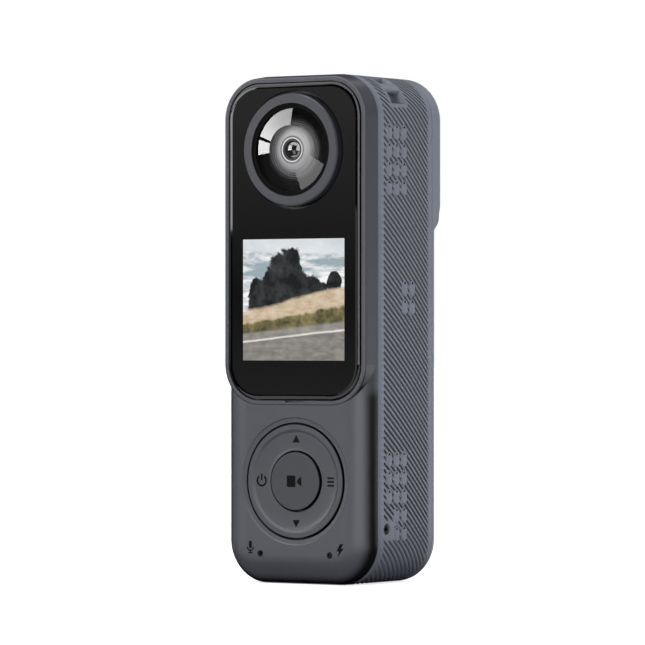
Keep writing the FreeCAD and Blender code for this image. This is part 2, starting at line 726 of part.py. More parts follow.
def clear_of_door(y, z):
    """Whether a pad on the left side keeps its whole shape beside the port door."""
    y0, y1, z0, z1 = door_outline()
    beside = y + PAD_WIDTH / 2 < y0 - DOOR_KNUCKLE_R - DOOR_KNUCKLE_ROOM
    return beside or z + PAD_HEIGHT / 2 < z0 or z - PAD_HEIGHT / 2 > z1


def eye_tools():
    """The lanyard eye's curved pocket, and the bridge that crosses it."""
    centre_x = HALF_WIDTH - BAND_CORNER
    centre_z = BODY_HEIGHT - BAND_CORNER
    y0 = EYE_CENTRE_Y - EYE_WIDTH / 2
    mid = math.radians(EYE_MID_ANGLE)
    half = math.radians(EYE_HALF_ANGLE)
    floor = BAND_CORNER - EYE_DEPTH
    mouth = BAND_CORNER * math.cos(half)
    chord = BAND_CORNER * math.sin(half)
    offset = (mouth ** 2 + chord ** 2 - floor ** 2) / (2 * (mouth - floor))
    axis = Vector(0, 1, 0)
    pocket = Part.makeCylinder(
        offset - floor, EYE_WIDTH,
        Vector(centre_x + offset * math.cos(mid), y0, centre_z + offset * math.sin(mid)), axis,
    )
    bar_start = EYE_MID_ANGLE - EYE_BRIDGE_ANGLE / 2
    outer = Part.makeCylinder(BAND_CORNER, EYE_WIDTH, Vector(centre_x, y0, centre_z), axis)
    bar_r = BAND_CORNER - EYE_BRIDGE_THICK
    inner = Part.makeCylinder(bar_r, EYE_WIDTH, Vector(centre_x, y0, centre_z), axis)
    wedge_points = [Vector(centre_x, y0, centre_z)]
    reach = BAND_CORNER * 2
    for angle in (bar_start, bar_start + EYE_BRIDGE_ANGLE):
        turn = math.radians(angle)
        x = centre_x + reach * math.cos(turn)
        wedge_points.append(Vector(x, y0, centre_z + reach * math.sin(turn)))
    wedge_points.append(wedge_points[0])
    wedge = Part.Face(Part.makePolygon(wedge_points)).extrude(Vector(0, EYE_WIDTH, 0))
    bridge = outer.cut(inner).common(wedge)
    return pocket, bridge


def door_outline():
    """Lowest and highest y, and lowest and highest z, of the port door."""
    return (
        DOOR_PIN_Y,
        PORT_WINDOW_REAR + DOOR_MARGIN,
        PORT_WINDOW_LOW - DOOR_MARGIN,
        PORT_WINDOW_HIGH + DOOR_MARGIN,
    )


def grip_band():
    shape = plate(BAND_OUTLINE, BAND_FRONT, BAND_REAR)
    shape = shape.cut(plate(CAVITY_OUTLINE, BAND_FRONT - 1, BAND_REAR + 1))
    centre_x = HALF_WIDTH - BAND_CORNER
    centre_z = BODY_HEIGHT - BAND_CORNER
    eye_front = EYE_CENTRE_Y - EYE_WIDTH / 2 - EYE_WALL
    eye_back = EYE_CENTRE_Y + EYE_WIDTH / 2 + EYE_WALL
    keep = BAND_CORNER - EYE_DEPTH - EYE_WALL
    filler = box(centre_x, HALF_WIDTH, eye_front, eye_back, centre_z, BODY_HEIGHT)
    filler = filler.common(plate(BAND_OUTLINE, eye_front, eye_back))
    hollow_angle = math.radians(EYE_MID_ANGLE)
    far = BAND_CORNER * 2
    hollow = box(-far, keep - EYE_FILL, eye_front - 1, eye_back + 1, -far, far)
    hollow.rotate(Vector(0, 0, 0), Vector(0, 1, 0), -math.degrees(hollow_angle))
    hollow.translate(Vector(centre_x, 0, centre_z))
    shape = shape.fuse(filler.cut(hollow))
    pocket, bridge = eye_tools()
    shape = shape.cut(pocket).fuse(bridge)
    land = Part.makeCylinder(TRIPOD_INSERT_R + TRIPOD_BOSS_WALL, TRIPOD_INSERT_HEIGHT, Vector(0, 0, 0))
    shape = shape.fuse(land)
    seat = Part.makeCylinder(TRIPOD_INSERT_R, TRIPOD_INSERT_HEIGHT, Vector(0, 0, 0))
    rebate = Part.makeCylinder(TRIPOD_FLANGE_R, TRIPOD_FLANGE_THICK, Vector(0, 0, 0))
    shape = shape.cut(seat).cut(rebate)
    for side in (-1, 1):
        start = side * (HALF_WIDTH - BAND_WALL * 2)
        for y, z in pad_places():
            if side > 0 or clear_of_door(y, z):
                shape = shape.fuse(pad(side, y, z))
        bore = Part.makeCylinder(
            SIDE_SCREW_SHAFT_R + SCREW_GAP, BAND_WALL * 3,
            Vector(start, SIDE_SCREW_Y, SIDE_SCREW_Z), Vector(side, 0, 0),
        )
        recess = Part.makeCylinder(
            SIDE_SCREW_RECESS_R, BAND_WALL,
            Vector(side * (HALF_WIDTH - SIDE_SCREW_DOWN - SIDE_SCREW_HEAD), SIDE_SCREW_Y, SIDE_SCREW_Z),
            Vector(side, 0, 0),
        )
        shape = shape.cut(bore).cut(recess)
    return one(port_opening(shape).removeSplitter())


def port_opening(shape):
    """The left side's port window, the door's recess and the bores for its hinge pin."""
    y0, y1, z0, z1 = door_outline()
    outer = -HALF_WIDTH
    inner = outer + BAND_WALL
    boss = box(
        inner - TINY, inner + PORT_BOSS_THICK,
        PORT_WINDOW_FRONT - PORT_BOSS_MARGIN, PORT_WINDOW_REAR + PORT_BOSS_MARGIN,
        PORT_WINDOW_LOW - PORT_BOSS_MARGIN, PORT_WINDOW_HIGH + PORT_BOSS_MARGIN,
    )
    shape = shape.fuse(boss)
    window = box(
        outer - 1, inner + PORT_BOSS_THICK + 1,
        PORT_WINDOW_FRONT, PORT_WINDOW_REAR, PORT_WINDOW_LOW, PORT_WINDOW_HIGH,
    )
    recess = box(outer - 1, outer + DOOR_THICK + DOOR_GAP, y0, y1 + DOOR_GAP, z0 - DOOR_GAP, z1 + DOOR_GAP)
    knuckle_room = DOOR_KNUCKLE_R + DOOR_KNUCKLE_ROOM
    slot = box(outer - 1, DOOR_PIN_X, y0 - knuckle_room, y0 + TINY, z0 - DOOR_GAP, z1 + DOOR_GAP)
    trough = Part.makeCylinder(
        knuckle_room, z1 - z0 + 2 * DOOR_GAP, Vector(DOOR_PIN_X, DOOR_PIN_Y, z0 - DOOR_GAP)
    )
    trough = trough.common(box(outer - 1, outer + DOOR_THICK + DOOR_GAP, y0 - 5, y0 + 5, 0, BODY_HEIGHT))
    pin = Part.makeCylinder(
        DOOR_PIN_R + DOOR_PIN_CLEAR,
        z1 - z0 + 2 * (DOOR_PIN_SEAT + DOOR_GAP),
        Vector(DOOR_PIN_X, DOOR_PIN_Y, z0 - DOOR_GAP - DOOR_PIN_SEAT),
    )
    return shape.cut(window).cut(recess).cut(slot).cut(trough).cut(pin)


def bump_profile_tool():
    """What is cut from the raised block to leave its S-shaped lower slope."""
    side = Vector(0, BAND_REAR, BUMP_FOOT_Z - BUMP_SIDE_SWOOP)
    low = Vector(0, COVER_LEVEL, BUMP_FOOT_Z)
    high = Vector(0, BUMP_LEVEL, BUMP_SHOULDER_Z)
    run = Vector(0, 0, BUMP_SIDE_SWOOP * BUMP_CURVE_PULL)
    rise = Vector(0, 0, BUMP_SLOPE_HEIGHT * BUMP_CURVE_PULL)
    swoop = Part.BezierCurve()
    swoop.setPoles([side, side + run, low - run, low])
    slope = Part.BezierCurve()
    slope.setPoles([low, low + rise, high - rise, high])
    beyond = BUMP_LEVEL + 2
    outside = [high, Vector(0, beyond, high.z), Vector(0, beyond, 0), Vector(0, BAND_REAR, 0), side]
    edges = [swoop.toShape(), slope.toShape()]
    for start, end in zip(outside, outside[1:]):
        edges.append(Part.LineSegment(start, end).toShape())
    face = Part.Face(Part.Wire(edges))
    face.translate(Vector(-BODY_WIDTH, 0, 0))
    return face.extrude(Vector(2 * BODY_WIDTH, 0, 0))


def rear_cover():
    main = pillow(BAND_OUTLINE, BAND_REAR, COVER_LEVEL, COVER_ROUND, COVER_DEPTH - TINY)
    bump_outline = (
        -HALF_WIDTH, HALF_WIDTH, BUMP_FOOT_Z - 2 * BAND_CORNER, BODY_HEIGHT, BAND_CORNER,
    )
    bump = pillow(bump_outline, BAND_REAR, BUMP_LEVEL, BUMP_ROUND, BUMP_ROUND)
    bump = bump.cut(bump_profile_tool())
    shape = main.fuse(bump)
    cavity = grown(BAND_OUTLINE, -BAND_WALL - LIP_GAP - LIP_THICK)
    shape = shape.cut(plate(cavity, BAND_REAR - TINY, COVER_INSIDE))
    bump_cavity = (
        cavity[0] + COVER_WALL, cavity[1] - COVER_WALL,
        BUMP_SHOULDER_Z, cavity[3] - COVER_WALL, BAND_CORNER / 2,
    )
    shape = shape.cut(plate(bump_cavity, BAND_REAR, BUMP_LEVEL - COVER_WALL))
    shape = shape.fuse(frame(LIP_OUTLINE, LIP_THICK, BAND_REAR - LIP_LENGTH / 2, BAND_REAR + TINY))
    glass_seat = grown(REAR_GLASS_OUTLINE, GLASS_GAP)
    seat_level = COVER_LEVEL - REAR_GLASS_THICK - SEAL_THICK
    shape = shape.cut(plate(glass_seat, seat_level, COVER_LEVEL + 1))
    shape = shape.cut(plate(grown(REAR_PANEL_OUTLINE, PANEL_GAP), BAND_REAR, COVER_LEVEL))
    return one(shape.removeSplitter())


def rear_cover_seal():
    return frame(
        LIP_OUTLINE, LIP_THICK, BAND_REAR - LIP_LENGTH / 2 - LIP_THICK, BAND_REAR - LIP_LENGTH / 2
    )


def front_glass():
    shape = pillow(GLASS_OUTLINE, GLASS_BACK, GLASS_LEVEL, GLASS_ROUND_WIDTH, GLASS_ROUND_DEPTH)
    hole = disc(0, LENS_Z, LENS_RING_R + LENS_GROOVE, GLASS_LEVEL - 1, GLASS_BACK + 1)
    return one(shape.cut(hole))


def front_glass_seal():
    shape = plate(GLASS_OUTLINE, GLASS_BACK, LEDGE_FRONT)
    shape = shape.cut(plate(grown(PANEL_OUTLINE, PANEL_GAP), GLASS_BACK - 1, LEDGE_FRONT + 1))
    shape = shape.cut(disc(0, LENS_Z, LENS_RING_R + LENS_GROOVE, GLASS_BACK - 1, LEDGE_FRONT + 1))
    return one(shape)


def front_display_panel():
    return plate(PANEL_OUTLINE, PANEL_FRONT, PANEL_BACK)


def display_adhesive():
    return plate(PANEL_OUTLINE, GLASS_BACK, PANEL_FRONT)


def strip(points, x0, x1, thick):
    """A bent ribbon across X that follows points of y and z; it is thickened upwards."""
    outer = [Vector(x0, y, z) for y, z in points]
    inner = [Vector(x0, y + thick, z + thick) for y, z in reversed(points)]
    corners = outer + inner
    corners.append(corners[0])
    return Part.Face(Part.makePolygon(corners)).extrude(Vector(x1 - x0, 0, 0))


def front_display_flex():
    """Ribbon from the display's lower ledge, round the inner frame's foot, up to the main board."""
    x0 = DISPLAY_FLEX_X
    x1 = x0 + 2 * FLEX_WIDTH
    low = FRAME_OUTLINE[2] - FLEX_STAND_OFF - FLEX_THICK
    rise_y = FRAME_BACK + FLEX_STAND_OFF
    turn = MAIN_BOARD_LOW + FLEX_WIDTH
    parts = [
        box(x0, x1, PANEL_BACK, PANEL_BACK + FLEX_THICK, low, PANEL_OUTLINE[2] + FLEX_WIDTH),
        box(x0, x1, PANEL_BACK, rise_y + FLEX_THICK, low, low + FLEX_THICK),
        box(x0, x1, rise_y, rise_y + FLEX_THICK, low, turn),
        box(x0, x1, rise_y, MAIN_BOARD_Y, turn - FLEX_THICK, turn),
        box(x0, x1, MAIN_BOARD_Y - FLEX_THICK, MAIN_BOARD_Y, turn - FLEX_WIDTH, turn),
    ]
    return one(parts[0].multiFuse(parts[1:]).removeSplitter())


def lens_ring():
    glass_hole_level = LEDGE_BACK + LENS_SEAT_GAP
    flange_end = glass_hole_level + LENS_FLANGE_THICK
    bevel = 0.25
    return turned(
        [
            (LENS_RING_BORE, RING_LEVEL),
            (LENS_RING_R - bevel, RING_LEVEL),
            (LENS_RING_R, RING_LEVEL + bevel),
            (LENS_RING_R, glass_hole_level),
            (LENS_RING_R + LENS_FLANGE_WIDTH, glass_hole_level),
            (LENS_RING_R + LENS_FLANGE_WIDTH, flange_end),
            (BARREL_R + LENS_SEAT_GAP, flange_end),
            (BARREL_R + LENS_SEAT_GAP, hood_back()),
            (LENS_RING_BORE, hood_back()),
        ],
        0, LENS_Z,
    )


def cover_glass_edge():
    """Level of the cover glass's edge, at the foot of its bevel."""
    return RING_LEVEL - COVER_GLASS_PROUD + COVER_GLASS_DROP


def hood_front():
    return cover_glass_edge() + COVER_GLASS_THICK


def hood_back():
    return hood_front() + HOOD_THICK


def lens_retainer():
    front = RING_LEVEL + RETAINER_DOWN
    return ring(0, LENS_Z, LENS_RING_BORE, RETAINER_R + LENS_FIT, front, hood_front())


def lens_cover_glass():
    """Window with a flat middle and a wide conical bevel, of one thickness."""
    apex = RING_LEVEL - COVER_GLASS_PROUD
    return turned(
        [
            (0, apex),
            (COVER_GLASS_FLAT_R, apex),
            (RETAINER_R, cover_glass_edge()),
            (RETAINER_R, hood_front()),
            (COVER_GLASS_FLAT_R, apex + COVER_GLASS_THICK),
            (0, apex + COVER_GLASS_THICK),
        ],
        0, LENS_Z,
    )


def lens_hood():
    """Black funnel: a smooth slope outside, fine steps inside."""
    front = hood_front()
    back = hood_back()
    level = front + HOOD_SLOPE
    profile = [(LENS_RING_BORE, front), (RETAINER_R - NOSE_BEVEL, front), (HOOD_STEP_OUTER, level)]
    span = (HOOD_STEP_OUTER - HOOD_STEP_INNER) / HOOD_STEPS
    for step in range(HOOD_STEPS):
        radius = HOOD_STEP_OUTER - span * step
        profile.append((radius - span / 2, level))
        level += HOOD_STEP_RISE
        profile.append((radius - span / 2, level))
        profile.append((radius - span, level))
    profile.append((HOOD_STEP_INNER, back))
    profile.append((LENS_RING_BORE, back))
    return turned(profile, 0, LENS_Z)


def nose_levels():
    """Levels of the grey cone's foot and top; it rises towards the cover glass."""
    top = RING_LEVEL - COVER_GLASS_PROUD + COVER_GLASS_THICK + NOSE_BELOW_GLASS
    foot = hood_front() + NOSE_FOOT
    return foot, top


def lens_nose():
    foot, top = nose_levels()
    back = hood_back()
    return turned(
        [
            (ELEMENT_RING_R + LENS_FIT, top),
            (NOSE_TOP_R, top),
            (NOSE_TOP_R + NOSE_BEVEL, top + NOSE_BEVEL / 2),
            (NOSE_R, foot),
            (NOSE_R, back),
            (ELEMENT_RING_R + LENS_FIT, back),
        ],
        0, LENS_Z,
    )


def lens_element_ring():
    foot, top = nose_levels()
    inner = ELEMENT_R + LENS_FIT
    proud = top - ELEMENT_RING_PROUD
    return turned(
        [
            (inner, top + ELEMENT_DOWN),
            (inner + ELEMENT_RING_BEVEL, proud),
            (ELEMENT_RING_R - ELEMENT_RING_BEVEL, proud),
            (ELEMENT_RING_R, top),
            (ELEMENT_RING_R, hood_back()),
            (inner, hood_back()),
        ],
        0, LENS_Z,
    )


def lens_front_element():
    foot, top = nose_levels()
    return one(dome(0, LENS_Z, ELEMENT_R, ELEMENT_SAG, ELEMENT_THICK, top - ELEMENT_DOWN))


def lens_barrel():
    return turned(
        [
            (BARREL_R - BARREL_WALL, hood_back() + TINY),
            (BARREL_R, hood_back() + TINY),
            (BARREL_R, LENS_END - BARREL_SHORT),
            (BARREL_R - BARREL_WALL, LENS_END - BARREL_SHORT),
        ],
        0, LENS_Z,
    )


def lens_rear_elements():
    """Glass elements in a row inside the barrel."""
    lenses = []
    radius = BARREL_R - BARREL_WALL
    first = hood_back() + REAR_ELEMENT_FIRST
    last = LENS_END - REAR_ELEMENT_LAST
    for index in range(REAR_ELEMENTS):
        level = first + (last - first) * index / (REAR_ELEMENTS - 1)
        lenses.append(one(dome(0, LENS_Z, radius, REAR_ELEMENT_SAG, REAR_ELEMENT_THICK, level)))
    return group(lenses)


def holder_inner():
    return BARREL_R + LENS_SEAT_GAP / 2


def lens_holder():
    """Threaded sleeve round the barrel, with a flange and two ears screwed to the inner frame."""
    outer = holder_inner() + HOLDER_WALL
    front = FRAME_BACK
    shape = disc(0, LENS_Z, outer, front, LENS_END)
    shape = shape.fuse(disc(0, LENS_Z, LENS_RING_R + LENS_FLANGE_WIDTH, front, front + HOLDER_FLANGE_THICK))
    for x, z in lens_ears():
        shape = shape.fuse(disc(x, z, LENS_EAR_R, front, front + HOLDER_FLANGE_THICK))
        middle = Vector(x / 2, 0, (z + LENS_Z) / 2)
        reach = lens_ear_circle() / 2
        web = box(-LENS_EAR_R, LENS_EAR_R, front, front + HOLDER_FLANGE_THICK, -reach, reach)
        angle = math.degrees(math.atan2(x, z - LENS_Z))
        web.rotate(Vector(0, 0, 0), Vector(0, 1, 0), angle)
        web.translate(middle)
        shape = shape.fuse(web)
    pocket_front = LENS_END - SENSOR_POCKET_DEPTH
    shape = shape.cut(disc(0, LENS_Z, holder_inner(), front - 1, pocket_front + TINY))
    pocket = SENSOR_SIDE / 2 + SENSOR_POCKET_GAP
    shape = shape.cut(box(-pocket, pocket, pocket_front, LENS_END + 1, LENS_Z - pocket, LENS_Z + pocket))
    for x, z in lens_ears():
        shape = shape.cut(screw_hole(x, z, front - 1, front + HOLDER_FLANGE_THICK + 1))
    return one(shape.removeSplitter())


def lens_ear_circle():
    """Distance of the ears' screws from the lens axis, clear of the ring's flange."""
    frame_hole = LENS_RING_R + LENS_FLANGE_WIDTH + INSIDE_GAP
    return frame_hole + LENS_EAR_WALL + INNER_SCREW_SHAFT_R + SCREW_GAP


def lens_ears():
    """Centres of the two screw ears, below the lens."""
    angle = math.radians(LENS_EAR_ANGLE)
    across = lens_ear_circle() * math.cos(angle)
    down = lens_ear_circle() * math.sin(angle)
    return [(-across, LENS_Z - down), (across, LENS_Z - down)]


def lens_screws():
    screws = []
    for x, z in lens_ears():
        head = FRAME_BACK + HOLDER_FLANGE_THICK
        grip = HOLDER_FLANGE_THICK + FRAME_PLATE_THICK
        screws.append(screw(x, z, head, INNER_HEAD_R, INNER_HEAD_THICK, INNER_SCREW_SHAFT_R, grip))
    return group(screws)


def ir_filter():
    half = SENSOR_SIDE / 2
    back = LENS_END - SENSOR_THICK - FILTER_GAP
    return box(-half, half, back - FILTER_THICK, back, LENS_Z - half, LENS_Z + half)


def image_sensor():
    half = SENSOR_SIDE / 2
    return box(-half, half, LENS_END - SENSOR_THICK, LENS_END, LENS_Z - half, LENS_Z + half)


def sensor_board():
    half = SENSOR_BOARD_SIDE / 2
    outline = (-half, half, LENS_Z - half, LENS_Z + half, SENSOR_BOARD_CORNER)
    return plate(outline, LENS_END, SENSOR_BOARD_BACK)


def sensor_connector():
    """Board to board connector at the sensor board's lower edge."""
    low = LENS_Z - SENSOR_BOARD_SIDE / 2
    return box(-CONNECTOR_HALF, CONNECTOR_HALF, MAIN_BOARD_BACK, LENS_END, low, low + CONNECTOR_HEIGHT)


def board_hole_r():
    return holder_inner() + HOLDER_WALL + LENS_BOARD_GAP


def inner_frame():
    """Chassis plate behind the display, with posts for the main board."""
    shape = plate(FRAME_OUTLINE, FRAME_FRONT, FRAME_BACK)
    hole = LENS_RING_R + LENS_FLANGE_WIDTH + INSIDE_GAP
    shape = shape.cut(disc(0, LENS_Z, hole, FRAME_FRONT - 1, FRAME_BACK + 1))
    for x, z in BOARD_POSTS:
        shape = shape.fuse(disc(x, z, POST_R, FRAME_BACK - TINY, MAIN_BOARD_Y))
        bore_start = MAIN_BOARD_Y - POST_BORE_DEPTH
        shape = shape.cut(screw_hole(x, z, bore_start, MAIN_BOARD_Y + 1))
    for x, z in lens_ears():
        shape = shape.cut(screw_hole(x, z, FRAME_FRONT - 1, FRAME_BACK + 1))
    return one(shape.removeSplitter())


def main_board():
    outline = (-MAIN_BOARD_HALF, MAIN_BOARD_HALF, MAIN_BOARD_LOW, MAIN_BOARD_HIGH, MAIN_BOARD_CORNER)
    shape = plate(outline, MAIN_BOARD_Y, MAIN_BOARD_BACK)
    shape = shape.cut(disc(0, LENS_Z, board_hole_r(), MAIN_BOARD_Y - 1, MAIN_BOARD_BACK + 1))
    for x, z in BOARD_POSTS:
        shape = shape.cut(screw_hole(x, z, MAIN_BOARD_Y - 1, MAIN_BOARD_BACK + 1))
    return one(shape)


def board_screws():
    screws = []
    for x, z in BOARD_POSTS:
        grip = MAIN_BOARD_THICK + BOARD_SCREW_GRIP
        screws.append(
            screw(x, z, MAIN_BOARD_BACK, INNER_HEAD_R, INNER_HEAD_THICK, INNER_SCREW_SHAFT_R, grip)
        )
    return group(screws)


def processor_shield():
    """Tinned can over the processor, open towards the board."""
    low = MAIN_BOARD_LOW + SHIELD_LOW
    high = low + SHIELD_LENGTH
    top = MAIN_BOARD_BACK + SHIELD_HEIGHT
    half = SHIELD_HALF - SHIELD_WALL
    outer = box(-SHIELD_HALF, SHIELD_HALF, MAIN_BOARD_BACK, top, low, high)
    inner = box(-half, half, MAIN_BOARD_BACK - 1, top - SHIELD_WALL, low + SHIELD_WALL, high - SHIELD_WALL)
    return one(outer.cut(inner))


def memory_chips():
    """The processor and memory packages under the can."""
    low = MAIN_BOARD_LOW + SHIELD_LOW + CHIP_MARGIN
    chips = []
    for x0, x1, z0, z1 in CHIPS:
        chips.append(box(x0, x1, MAIN_BOARD_BACK, MAIN_BOARD_BACK + CHIP_THICK, low + z0, low + z1))
    return group(chips)


def heat_spreader():
    half = SENSOR_BOARD_SIDE / 2
    low = BUMP_SHOULDER_Z + SPREADER_ABOVE_SHOULDER
    outline = (-half, half, low, LENS_Z + half, SENSOR_BOARD_CORNER)
    return plate(outline, SPREADER_FRONT, SPREADER_BACK)


def heat_pad():
    half = HEAT_PAD_HALF
    return box(-half, half, SENSOR_BOARD_BACK, SPREADER_FRONT, LENS_Z - half, LENS_Z + half)


def wifi_antenna():
    top = BODY_HEIGHT - BAND_WALL - LIP_GAP - LIP_THICK - INSIDE_GAP
    back = MAIN_BOARD_Y - ANTENNA_GAP
    return box(ANTENNA_LEFT, ANTENNA_RIGHT, back - ANTENNA_DEPTH, back, top - ANTENNA_THICK, top)


def key_board():
    shape = plate(KEY_BOARD_OUTLINE, KEY_BOARD_FRONT, KEY_BOARD_BACK)
    for x, z in KEY_SCREWS:
        shape = shape.cut(screw_hole(x, z, KEY_BOARD_FRONT - 1, KEY_BOARD_BACK + 1))
    return one(shape)


def key_board_screws():
    screws = []
    for x, z in KEY_SCREWS:
        grip = KEY_BOARD_THICK + KEY_SCREW_GRIP
        screws.append(
            screw(x, z, KEY_BOARD_BACK, KEY_SCREW_HEAD_R, KEY_SCREW_HEAD_THICK, INNER_SCREW_SHAFT_R, grip)
        )
    return group(screws)


def dome_places():
    places = [(0.0, KEY_Z)]
    for quarter in range(4):
        angle = math.radians(90 * quarter)
        places.append((DOME_CIRCLE * math.cos(angle), KEY_Z + DOME_CIRCLE * math.sin(angle)))
    return places


def key_domes():
    """Snap domes under the centre button and the ring key's four sides."""
    domes = []
    for x, z in dome_places():
        domes.append(one(dome(x, z, DOME_R, DOME_HEIGHT - DOME_EDGE, DOME_EDGE, DOME_TOP)))
    return group(domes)


def key_board_flex():
    """Flat ribbon along the right wall, from the key board's edge up to the main board's edge."""
    x0 = KEY_BOARD_HALF + FLEX_STAND_OFF
    x1 = x0 + FLEX_THICK
    turn = MAIN_BOARD_LOW - KEY_FLEX_TURN
    rise = box(x0, x1, KEY_BOARD_FRONT, KEY_BOARD_BACK + FLEX_WIDTH, KEY_FLEX_START, turn)
    across = box(x0, x1, KEY_BOARD_FRONT, MAIN_BOARD_BACK, turn - FLEX_WIDTH, turn)
    tab = box(x0, x1, MAIN_BOARD_BACK - FLEX_WIDTH, MAIN_BOARD_BACK, turn - FLEX_WIDTH, turn + FLEX_WIDTH)
    foot = box(
        KEY_BOARD_HALF, x1, KEY_BOARD_FRONT, KEY_BOARD_BACK,
        KEY_FLEX_START, KEY_FLEX_START + FLEX_WIDTH,
    )
    head = box(
        MAIN_BOARD_HALF, x1, MAIN_BOARD_Y, MAIN_BOARD_BACK,
        MAIN_BOARD_LOW + KEY_FLEX_TURN, turn + FLEX_WIDTH,
    )
    return one(rise.multiFuse([across, tab, foot, head]).removeSplitter())


def ring_key():
    """Dished ring with a hidden flange and four plungers above the snap domes."""
    plate_inner = RING_KEY_HOLE
    lip_in = RING_KEY_R - RING_LIP
    flange_r = RING_KEY_R + RING_FLANGE_WIDTH
    profile = [(plate_inner, KEY_PLATE_BACK), (plate_inner, KEY_LEVEL + RING_DISH - RING_INNER_LIP)]
    for step in range(1, 9):
        across = step / 8
        depth = RING_DISH * math.sqrt(max(0.0, 1 - across ** 4))
        profile.append((plate_inner + (lip_in - plate_inner) * across, KEY_LEVEL + depth))
    profile.append((RING_KEY_R - KEY_BEVEL, KEY_LEVEL))
    profile.append((RING_KEY_R, KEY_LEVEL + KEY_BEVEL))
    profile.append((RING_KEY_R, KEY_FLANGE_FRONT))
    profile.append((flange_r, KEY_FLANGE_FRONT))
    profile.append((flange_r, KEY_FLANGE_BACK))
    rib_inner = BUTTON_R + BUTTON_FLANGE_WIDTH + RIB_GAP
    profile.append((rib_inner, KEY_FLANGE_BACK))
    profile.append((rib_inner, KEY_PLATE_BACK))
    shape = turned(profile, 0, KEY_Z)
    for x, z in dome_places()[1:]:
        shape = shape.fuse(disc(x, z, PLUNGER_R, KEY_FLANGE_FRONT, DOME_TOP - PLUNGER_GAP))
    return one(shape.removeSplitter())


def ring_carrier():
    """Rocking ring between the key ring and the board; the key ring pivots on it."""
    back = DOME_TOP - CARRIER_GAP
    inner = BUTTON_R + BUTTON_FLANGE_WIDTH + CARRIER_GAP
    return ring(0, KEY_Z, inner + CARRIER_WIDTH, inner, back - CARRIER_THICK, back)


def record_button():
    """Flat centre button with a hidden flange and a stem above its snap dome."""
    inner_edge = KEY_LEVEL + RING_DISH - RING_INNER_LIP
    front = inner_edge - BUTTON_PROUD
    flange_front = KEY_PLATE_BACK + BUTTON_FLANGE_GAP
    flange_back = flange_front + BUTTON_FLANGE_THICK
    stem_end = DOME_TOP - BUTTON_TRAVEL - STEM_GAP
    return turned(
        [
            (0, front),
            (BUTTON_R - KEY_BEVEL, front),
            (BUTTON_R, front + KEY_BEVEL),
            (BUTTON_R, flange_front),
            (BUTTON_R + BUTTON_FLANGE_WIDTH, flange_front),
            (BUTTON_R + BUTTON_FLANGE_WIDTH, flange_back),
            (STEM_R, flange_back),
            (STEM_TIP_R, stem_end),
            (0, stem_end),
        ],
        0, KEY_Z,
    )


def led_light_pipe():
    foot_front = FACE_INSIDE + LENS_FIT
    foot_back = FACE_INSIDE + PIPE_LENGTH + PIPE_FOOT_THICK
    pipe = disc(FACE_HOLE_X, FACE_HOLE_Z, FACE_HOLE_R - PIPE_GAP, FACE_LEVEL + PIPE_DOWN, foot_back)
    foot = disc(FACE_HOLE_X, FACE_HOLE_Z, PIPE_FOOT_R, foot_front, foot_back)
    return one(pipe.fuse(foot).removeSplitter())


def status_led():
    return box(
        FACE_HOLE_X - LED_LENGTH / 2, FACE_HOLE_X + LED_LENGTH / 2,
        KEY_BOARD_FRONT - LED_THICK, KEY_BOARD_FRONT,
        FACE_HOLE_Z - LED_WIDTH / 2, FACE_HOLE_Z + LED_WIDTH / 2,
    )


def microphone():
    return box(
        -FACE_HOLE_X - MICROPHONE_LENGTH / 2, -FACE_HOLE_X + MICROPHONE_LENGTH / 2,
        KEY_BOARD_FRONT - MICROPHONE_THICK, KEY_BOARD_FRONT,
        FACE_HOLE_Z - MICROPHONE_WIDTH / 2, FACE_HOLE_Z + MICROPHONE_WIDTH / 2,
    )


def microphone_gasket():
    back = KEY_BOARD_FRONT - MICROPHONE_THICK
    return ring(-FACE_HOLE_X, FACE_HOLE_Z, MICROPHONE_GASKET_R, FACE_HOLE_R, FACE_INSIDE, back)


def battery():
    """Soft-cased cell: a block with rounded long edges."""
    block = box(
        -BATTERY_HALF, BATTERY_HALF, BATTERY_FRONT, BATTERY_FRONT + BATTERY_DEPTH, BATTERY_LOW, BATTERY_HIGH
    )
    long_edges = [edge for edge in block.Edges if edge.Length > BATTERY_HIGH - BATTERY_LOW - TINY]
    return block.makeFillet(BATTERY_EDGE, long_edges)


def battery_foam():
    back = BATTERY_FRONT + BATTERY_DEPTH
    half = BATTERY_HALF - FOAM_SIDE_MARGIN
    low = BATTERY_LOW + FOAM_LOW_MARGIN
    return box(-half, half, back, back + FOAM_THICK, low, BATTERY_HIGH - FOAM_HIGH_MARGIN)


def battery_board():
    """Protection board on top of the cell."""
    half = BATTERY_BOARD_DEPTH / 2
    top = BATTERY_HIGH + BATTERY_BOARD_THICK
    return box(-BATTERY_BOARD_HALF, BATTERY_BOARD_HALF, -half, half, BATTERY_HIGH, top)


def battery_leads():
    """Two short leads that rise from the protection board and turn back to the main board."""
    leads = []
    start_z = BATTERY_HIGH + BATTERY_BOARD_THICK
    end_z = MAIN_BOARD_LOW + LEAD_ABOVE_BOARD_EDGE
    y = LEAD_Y
    bend = LEAD_BEND
    inset = bend * (1 - math.cos(math.pi / 4))
    for x in LEAD_PLACES:
        middle = Vector(x, y + inset, end_z - inset)
        path = Part.Wire([
            Part.LineSegment(Vector(x, y, start_z), Vector(x, y, end_z - bend)).toShape(),
            Part.Arc(Vector(x, y, end_z - bend), middle, Vector(x, y + bend, end_z)).toShape(),
            Part.LineSegment(Vector(x, y + bend, end_z), Vector(x, MAIN_BOARD_Y, end_z)).toShape(),
        ])
        circle = Part.Wire(Part.Circle(Vector(x, y, start_z), Vector(0, 0, 1), LEAD_R).toShape())
        leads.append(path.makePipeShell([circle], True, False))
    return group(leads)


